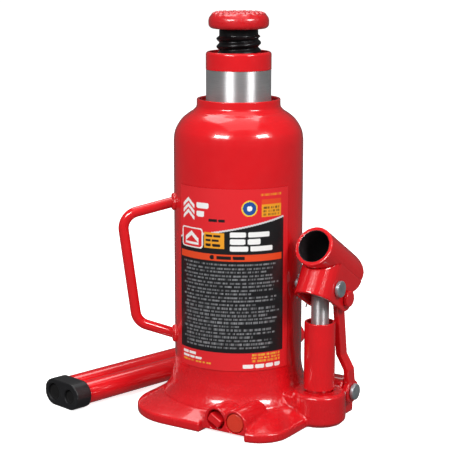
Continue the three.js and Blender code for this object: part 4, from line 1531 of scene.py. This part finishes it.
    def saddle(self) -> None:
        """The forged saddle: a thick round-edged disc, its top studded so that it grips the load."""
        edge = self.saddle_radius
        low, high = self.saddle_bottom, self.saddle_top - self.stud_height
        lower, upper = self.lower_rounding, self.upper_rounding
        hole, depth = self.peg_hole
        profile = [
            (self.pole_radius, low + depth),
            (hole, low + depth),
            (hole, low),
            (self.saddle_foot_radius, low),
            *arc((edge - lower, low + lower), lower, -84.0, -8.0, 8),
            *arc((edge - upper, high - upper), upper, 0.0, 84.0, 11),
        ]
        steps = self.face_rings
        inner = profile[-1][0]
        profile += [(inner * (1 - i / steps) + self.pole_radius, high) for i in range(1, steps + 1)]
        sides = FINE_STEPS
        points: list[Point3] = []
        for radius, height in profile:
            for side in range(sides):
                angle = FULL_TURN * side / sides
                x, y = radius * math.cos(angle), radius * math.sin(angle)
                points.append((x, y, height + self.stud(x, y, height)))
        faces: list[list[int]] = []
        for ring in range(len(profile) - 1):
            low_ring, high_ring = ring * sides, (ring + 1) * sides
            for side in range(sides):
                after = (side + 1) % sides
                faces.append([low_ring + side, low_ring + after, high_ring + after, high_ring + side])
        last = (len(profile) - 1) * sides
        faces.append(list(range(sides))[::-1])
        faces.append(list(range(last, last + sides)))
        piece = mesh_piece("saddle_forged", points, faces, math.radians(SMOOTH_ANGLE))
        self.dress(piece, SADDLE_ENAMEL, Body.SCREW, "saddle_paint", ["saddle"])

    def stud(self, x: float, y: float, height: float) -> float:
        """How far a stud lifts the saddle's top at a point, in millimetres."""
        face = self.saddle_top - self.stud_height
        share = min(1.0, max(0.0, (height - face + self.stud_fade) / self.stud_fade))
        wave = (0.5 + 0.5 * math.cos(FULL_TURN * x / self.stud_pitch)) * (
            0.5 + 0.5 * math.cos(FULL_TURN * y / self.stud_pitch)
        )
        return self.stud_height * share * min(1.0, self.stud_flatness * wave)


@dataclass
class PumpAndLever(SubAssembly):
    """The pump, its plunger, the lever with its socket, and the links down to the base's lug."""

    pump_x: float = 62.0
    plunger_pin: Point2 = (0.0, 89.7)
    link_pin: Point2 = (11.5, 81.0)
    lug_pin: Point2 = (21.0, 16.5)
    cheek: float = 12.9
    link_face: float = 13.5
    pin_radius: float = 2.9
    head_radius: float = 5.3
    head_thickness: float = 2.6
    head_gap: float = 0.3
    tail: float = 4.6
    split_inset: float = 2.2
    split_radius: float = 0.5
    split_bend: float = 1.1
    lever_tilt: float = -31.0
    socket_axis: float = 19.0
    # socket faces nearer the axis than this get the dark bore steel, partly painted shade
    bore_shade_radius: float = 10.7

    def build(self) -> None:
        """Builds the pump, the lever, the links and their pins."""
        self.pump()
        self.plunger()
        self.lever()
        self.links()
        self.pins()

    def pump(self) -> None:
        """The pump's cylinder in its boss, and the wiper in its mouth."""
        profile = [
            (6.2, 9.0),
            (8.5, 9.0),
            (8.5, 22.3),
            (10.0, 22.3),
            (10.0, 66.7),
            (8.2, 66.7),
            (8.2, 60.0),
            (6.2, 60.0),
        ]
        barrel = turned("pump_cylinder_turned", rounded(profile, 0.9))
        moved(barrel, shift(self.pump_x, 0, 0))
        self.dress(barrel, RED_SHEET_ENAMEL, Body.JACK, "red_paint", ["pump_cylinder"])
        lip = turned("pump_wiper_lip", rounded([(6.1, 60.3), (7.9, 60.3), (7.9, 63.0), (6.1, 63.3)], 0.3))
        moved(lip, shift(self.pump_x, 0, 0))
        self.dress(lip, NITRILE_RUBBER, Body.JACK, "black_rubber", ["pump_wiper_seal"])

    def plunger(self) -> None:
        """The ground plunger and the slotted eye at its head."""
        profile = [
            (0, 24.0),
            (5.4, 24.0),
            (5.4, 26.0),
            (4.2, 26.0),
            (4.2, 29.4),
            (5.8, 29.4),
            (5.8, 83.2),
            (4.6, 85.2),
            (0, 85.2),
        ]
        shaft = turned("plunger_shaft_ground", rounded(profile, 0.4, closed=False, steps=3))
        moved(shaft, shift(self.pump_x, 0, 0))
        self.dress(shaft, GROUND_CHROME_STEEL, Body.PLUNGER, "ground_steel", ["pump_plunger"])
        half = SMALL_STEPS // 2
        slot = [
            (x + (0.6 if i < half // 2 or i > half // 2 * 3 else -0.6), z)
            for i, (x, z) in enumerate(circle(3.7, steps=half * 2))
        ]
        eye = plate("plunger_eye", circle(5.6), [slot], 8.6, 0.5)
        stand = Matrix(((0, 0, 1, 0), (1, 0, 0, 0), (0, 1, 0, 0), (0, 0, 0, 1)))
        moved(eye, stand, shift(self.pump_x, *self.plunger_pin))
        self.dress(eye, GROUND_CHROME_STEEL, Body.PLUNGER, "ground_steel")

    def lever(self) -> None:
        """The handle socket, a length of thick tube, and the folded bracket under it."""
        socket = softened("handle_socket", "handle_socket_tube", 0.45, 4)
        self.dress(socket, RED_SHEET_ENAMEL, Body.LEVER, "red_paint", ["handle_socket"])
        self.paint_bore_steel_and_shade(socket)
        bracket = softened("lever_bracket", "lever_bracket_folded", 0.45, 4)
        self.dress(bracket, RED_SHEET_ENAMEL, Body.LEVER, "red_paint", ["lever_bracket"])

    def paint_bore_steel_and_shade(self, socket: bpy.types.Object) -> None:
        """Leaves the socket's bore without enamel, as the spray doesn't reach into it, and draws its bare
        steel very dark: partly the steel's own colour, partly painted shade of the tube's inside.
        """
        socket.data.materials.append(BORE_STEEL_AND_SHADE.material())
        seat = Matrix.Translation((self.pump_x * MM, 0, self.plunger_pin[1] * MM))
        to_lever = (seat @ Matrix.Rotation(math.radians(self.lever_tilt), 4, "X")).inverted()
        for face in socket.data.polygons:
            place = to_lever @ face.center
            reach = math.hypot(place.x, place.z - self.socket_axis * MM)
            if reach < self.bore_shade_radius * MM:
                face.material_index = 1

    def links(self) -> None:
        """The two cranked links."""
        for side in ("right", "left"):
            piece = softened(f"link_{side}", f"link_{side}_pressed", 0.42, 4)
            self.dress(piece, RED_SHEET_ENAMEL, Body.LINKS, "red_paint", [f"link_{side}"])

    def pins(self) -> None:
        """The three headed pins with a split pin through the tail of each."""
        tree = rod_tree()
        plan = (
            ("plunger_pin", self.cheek, self.plunger_pin, ZINC_PLATE, Body.LEVER, "zinc_plate", -1),
            ("link_pin", self.cheek, self.link_pin, RED_SHEET_ENAMEL, Body.LEVER, "red_paint", -1),
            ("lug_pin", self.link_face, self.lug_pin, ZINC_PLATE, Body.JACK, "zinc_plate", 1),
        )
        for name, reach, centre, finish, body, slot, sense in plan:
            profile = [
                (0, -reach - self.tail),
                (self.pin_radius, -reach - self.tail),
                (self.pin_radius, reach + self.head_gap),
                (self.head_radius, reach + self.head_gap),
                (self.head_radius, reach + self.head_gap + self.head_thickness),
                (0, reach + self.head_gap + self.head_thickness),
            ]
            pin = turned(name + "_headed", rounded(profile, 0.8, closed=False), SMALL_STEPS)
            moved(pin, ALONG_X, shift(self.pump_x, *centre))
            self.dress(pin, finish, body, slot, [name])
            split = grown(
                name + "_split_pin",
                tree,
                self.split_pin(sense),
                ZINC_PLATE,
                Bar_radius=self.split_radius * MM,
                Bend_radius=self.split_bend * MM,
            )
            moved(split, shift(self.pump_x - reach - self.split_inset, *centre))
            self.dress(split, ZINC_PLATE, body, "zinc_plate", [name + "_cotter"])

    @staticmethod
    def split_pin(sense: int) -> list[Point3]:
        """The line of a split pin: one leg, the eye, and the other leg bent out.

        Args:
            sense: -1 where the legs hang, 1 where they stand.

        Returns:
            Points in millimetres, from the pin's middle.
        """
        shape = [
            (0.5, 0.0, 5.6),
            (0.5, 0.0, -3.2),
            (1.3, 0.0, -4.9),
            (0.0, 0.0, -6.0),
            (-1.3, 0.0, -4.9),
            (-0.5, 0.0, -3.2),
            (-0.5, 0.0, 5.0),
            (-1.4, 0.1, 8.0),
            (-2.2, 0.4, 10.3),
        ]
        return [(x, y, z * sense) for x, y, z in shape]


@dataclass
class Valves(SubAssembly):
    """The release valve, the safety valve with its spring, and the check balls inside."""

    release_x: float = 19.3
    safety_x: float = 33.4
    height: float = 9.0
    tang_turn: float = 30.0
    tang_depth: float = 8.4
    tang_middle: float = -54.3
    spring_turns: float = 4.0
    spring_radius: float = 2.6
    spring_length: float = 13.0
    wire_radius: float = 0.5
    spring_seat: float = -45.0

    def build(self) -> None:
        """Builds the release stem, the safety plug and its spring."""
        self.release_stem()
        self.safety_plug()
        self.spring()

    def release_stem(self) -> None:
        """The release valve's stem and the flat tang that the pump handle's notch turns."""
        profile = [
            (0, -51.0),
            (5.9, -51.0),
            (5.9, -48.3),
            (4.5, -48.3),
            (4.5, -40.4),
            (3.4, -40.4),
            (3.4, -38.0),
            (4.5, -38.0),
            (4.5, -36.5),
            (0, -36.5),
        ]
        stem = turned("release_valve_stem_turned", rounded(profile, 0.4, closed=False, steps=3), SMALL_STEPS)
        moved(stem, ALONG_Y, shift(self.release_x, 0, self.height))
        self.dress(stem, RED_SHEET_ENAMEL, Body.RELEASE, "red_paint", ["release_valve_stem"])
        flat = rounded([(-4.6, -2.7), (4.6, -2.7), (4.6, 2.7), (-4.6, 2.7)], 0.9)
        tang = plate("release_valve_tang", flat, [], self.tang_depth, 0.5)
        turn = Matrix.Rotation(math.radians(self.tang_turn), 4, "Y")
        moved(tang, ALONG_Y, turn, shift(self.release_x, self.tang_middle, self.height))
        self.dress(tang, RED_SHEET_ENAMEL, Body.RELEASE, "red_paint")

    def safety_plug(self) -> None:
        """The lacquered plug that closes the safety valve."""
        profile = [(0, -56.4), (6.1, -56.4), (6.1, -50.5), (3.9, -50.3), (3.9, -46.0), (0, -46.0)]
        plug = turned("safety_valve_plug_turned", rounded(profile, 0.7, closed=False), SMALL_STEPS)
        moved(plug, ALONG_Y, shift(self.safety_x, 0, self.height))
        self.dress(plug, PLUG_LACQUER, Body.JACK, "plug_paint", ["safety_valve_plug"])

    def spring(self) -> None:
        """The safety valve's coil spring."""
        coil = grown(
            "safety_valve_spring_wound",
            spring_tree(),
            [(0, 0, 0), (0, 0, 1)],
            DRAWN_WIRE,
            Turns=self.spring_turns,
            Coil_radius=self.spring_radius * MM,
            Length=self.spring_length * MM,
            Wire_radius=self.wire_radius * MM,
        )
        moved(coil, ALONG_Y, shift(self.safety_x, self.spring_seat, self.height))
        self.dress(coil, DRAWN_WIRE, Body.JACK, "spring_steel", ["safety_valve_spring"])


@dataclass
class HandleSet(SubAssembly):
    """The loose pump handle: two tubes held side by side by a moulded cap."""

    heading: float = 78.0
    drop: float = 0.32
    corner: Point3 = (-93.06, -65.11, 9.25)
    spacing: float = 16.4
    tube_radius: float = 7.6
    bore_radius: float = 6.3
    start: float = -2.3
    length: float = 221.5
    cap_front: float = -6.0
    hole_margin: float = 0.1
    lip: float = 0.4  # the holes' edge, which keeps the cap's own surface
    hole_radii: tuple[float, float] = (4.8, 5.75)

    def build(self) -> None:
        """Builds the cap and both tubes."""
        cap = softened("handle_end_cap", "handle_cap_moulded", 0.5, 4)
        self.dress(cap, GRAINED_POLYPROPYLENE, Body.CAP, "black_plastic", ["handle_end_cap"])
        self.paint_hole_shade(cap)
        self.tube("front", -1, Body.FRONT_TUBE)
        self.tube("rear", 1, Body.REAR_TUBE)

    def place(self) -> Matrix:
        """The handle set's place on the ground, for a mesh in millimetres from the cap's middle."""
        fall = Matrix.Rotation(math.radians(self.drop), 4, "Y")
        turn = Matrix.Rotation(math.radians(self.heading), 4, "Z")
        return shift(*self.corner) @ turn @ fall

    def paint_hole_shade(self, cap: bpy.types.Object) -> None:
        """Paints the two core-pin holes in the cap's face matt near-black: painted shade that stands for the
        shade deep inside the holes.
        """
        # the second material is painted shade for the inside of the holes
        cap.data.materials.append(HOLE_SHADE_BLACK.material())
        to_cap = self.place().inverted()
        for face in cap.data.polygons:
            x, y, z = to_cap @ face.center
            for side, radius in zip((-1, 1), self.hole_radii):
                inside = math.hypot(y - side * self.spacing / 2 * MM, z) < (radius - self.hole_margin) * MM
                if inside and (self.cap_front + self.lip) * MM < x < 0:
                    face.material_index = 1

    def tube(self, name: str, side: int, body: Body) -> None:
        """One tube, its ends dressed square and the arrises taken off.

        Args:
            name: front or rear.
            side: -1 or 1, across the cap.
            body: the body that it moves with.
        """
        end = self.start + self.length
        profile = [
            (self.bore_radius, self.start),
            (self.tube_radius, self.start),
            (self.tube_radius, end),
            (self.bore_radius, end),
        ]
        piece = turned(f"handle_tube_{name}_drawn", rounded(profile, 0.4, steps=3))
        moved(piece, ALONG_X, shift(0, side * self.spacing / 2, 0), self.place())
        self.dress(piece, RED_SHEET_ENAMEL, body, "red_paint", [f"handle_tube_{name}"])


@dataclass
class HiddenParts(SubAssembly):
    """Parts inside the jack, whose frame nodes keep their shape and get a better surface."""

    finishes: dict[str, Finish] = field(default_factory=lambda: dict(NODE_FINISHES))

    def build(self) -> None:
        """Dresses every hidden node."""
        for node, finish in self.finishes.items():
            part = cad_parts[node]
            part.data.materials.clear()
            part.data.materials.append(finish.material())
            LOG.info("%s: frame node in %s", node, finish.name)


# ---------------------------------------------------------------------------------------------
# Studio
# ---------------------------------------------------------------------------------------------


@dataclass(frozen=True)
class Softbox:
    """A rectangular soft light, given by where it stands round the jack."""

    name: str
    azimuth: float  # degrees from the camera's side, positive to the right
    elevation: float
    distance: float
    width: float
    height: float
    power: float


@dataclass
class Studio:
    """A white sweep with soft lights and the camera."""

    camera_at: Point3 = (0.4872, -0.7663, 0.3065)
    pitch: float = 78.55
    heading: float = 33.0
    lens: float = 113.12
    target: Point3 = (0.0, 0.0, 0.13)
    room: float = 0.36  # light from all round
    mirrored: float = 0.08  # the same, as a gloss surface shows it
    sweep_half_width: float = 6000.0
    boxes: tuple[Softbox, ...] = (
        Softbox("left_softbox", -34.0, 34.0, 1.3, 0.56, 0.3, 10.5),
        Softbox("right_softbox", 47.0, 34.0, 1.3, 0.46, 0.3, 8.5),
        Softbox("overhead", 10.0, 80.0, 1.5, 1.2, 1.2, 3.0),
        Softbox("back_fill", 190.0, 66.0, 1.8, 1.4, 1.0, 12.0),
    )

    def build(self) -> None:
        """Sets up the floor, the lights, the surroundings and the camera."""
        self.floor()
        for box in self.boxes:
            self.light(box)
        self.surroundings()
        self.camera()

    def floor(self) -> None:
        """The paper sweep under the jack."""
        half = self.sweep_half_width
        corners = [(-half, -half, 0.0), (half, -half, 0.0), (half, half, 0.0), (-half, half, 0.0)]
        mesh = bpy.data.meshes.new("paper_sweep")
        mesh.from_pydata([tuple(c * MM for c in corner) for corner in corners], [], [(0, 1, 2, 3)])
        mesh.materials.append(PAPER_SWEEP.material())
        sweep = object_of(mesh, "paper_sweep")
        sweep.visible_glossy = False
        sweep.visible_diffuse = False

    def light(self, box: Softbox) -> None:
        """Hangs one soft light, facing the jack."""
        data = bpy.data.lights.new(box.name, "AREA")
        data.shape = "RECTANGLE"
        data.size, data.size_y = box.width, box.height
        data.energy = box.power
        bearing = math.radians(self.heading - 90 + box.azimuth)
        lift = math.radians(box.elevation)
        away = Vector(
            (math.cos(bearing) * math.cos(lift), math.sin(bearing) * math.cos(lift), math.sin(lift))
        )
        lamp = bpy.data.objects.new(box.name, data)
        lamp.location = Vector(self.target) + away * box.distance
        lamp.rotation_euler = away.to_track_quat("Z", "Y").to_euler()
        bpy.context.scene.collection.objects.link(lamp)

    def surroundings(self) -> None:
        """White behind the jack as the eye sees it, and a softer grey in what it reflects."""
        world = bpy.data.worlds.new("studio")
        world.use_nodes = True
        tree = world.node_tree
        tree.nodes.clear()
        ray = add_node(tree, "ShaderNodeLightPath")
        white = linear("#FFFFFF")
        room, mirrored, backdrop = (
            add_node(tree, "ShaderNodeBackground", {"Color": white, "Strength": strength})
            for strength in (self.room, self.mirrored, 1.0)
        )
        lit = add_node(
            tree,
            "ShaderNodeMixShader",
            {0: ray.outputs["Is Glossy Ray"], 1: room.outputs[0], 2: mirrored.outputs[0]},
        )
        mixed = add_node(
            tree,
            "ShaderNodeMixShader",
            {0: ray.outputs["Is Camera Ray"], 1: lit.outputs[0], 2: backdrop.outputs[0]},
        )
        add_node(tree, "ShaderNodeOutputWorld", {"Surface": mixed.outputs[0]})
        bpy.context.scene.world = world
        bpy.context.scene.view_settings.view_transform = "Standard"

    def camera(self) -> None:
        """The camera, square on to the jack from a little above."""
        data = bpy.data.cameras.new("camera")
        data.sensor_width = 36.0
        data.lens = self.lens
        data.clip_start, data.clip_end = 0.05, 50.0
        camera = bpy.data.objects.new("camera", data)
        camera.location = self.camera_at
        camera.rotation_euler = (math.radians(self.pitch), 0.0, math.radians(self.heading))
        bpy.context.scene.collection.objects.link(camera)
        bpy.context.scene.camera = camera


def main() -> None:
    """Builds the jack from the ground up, then the studio round it."""
    logging.basicConfig(level=logging.INFO, format="%(name)s %(message)s")
    assemblies: tuple[SubAssembly, ...] = (
        BaseCasting(),
        Tank(),
        RamAndScrew(),
        PumpAndLever(),
        Valves(),
        HandleSet(),
        HiddenParts(),
    )
    for assembly in assemblies:
        assembly.build()
    Studio().build()


if __name__ == "__main__":
    main()
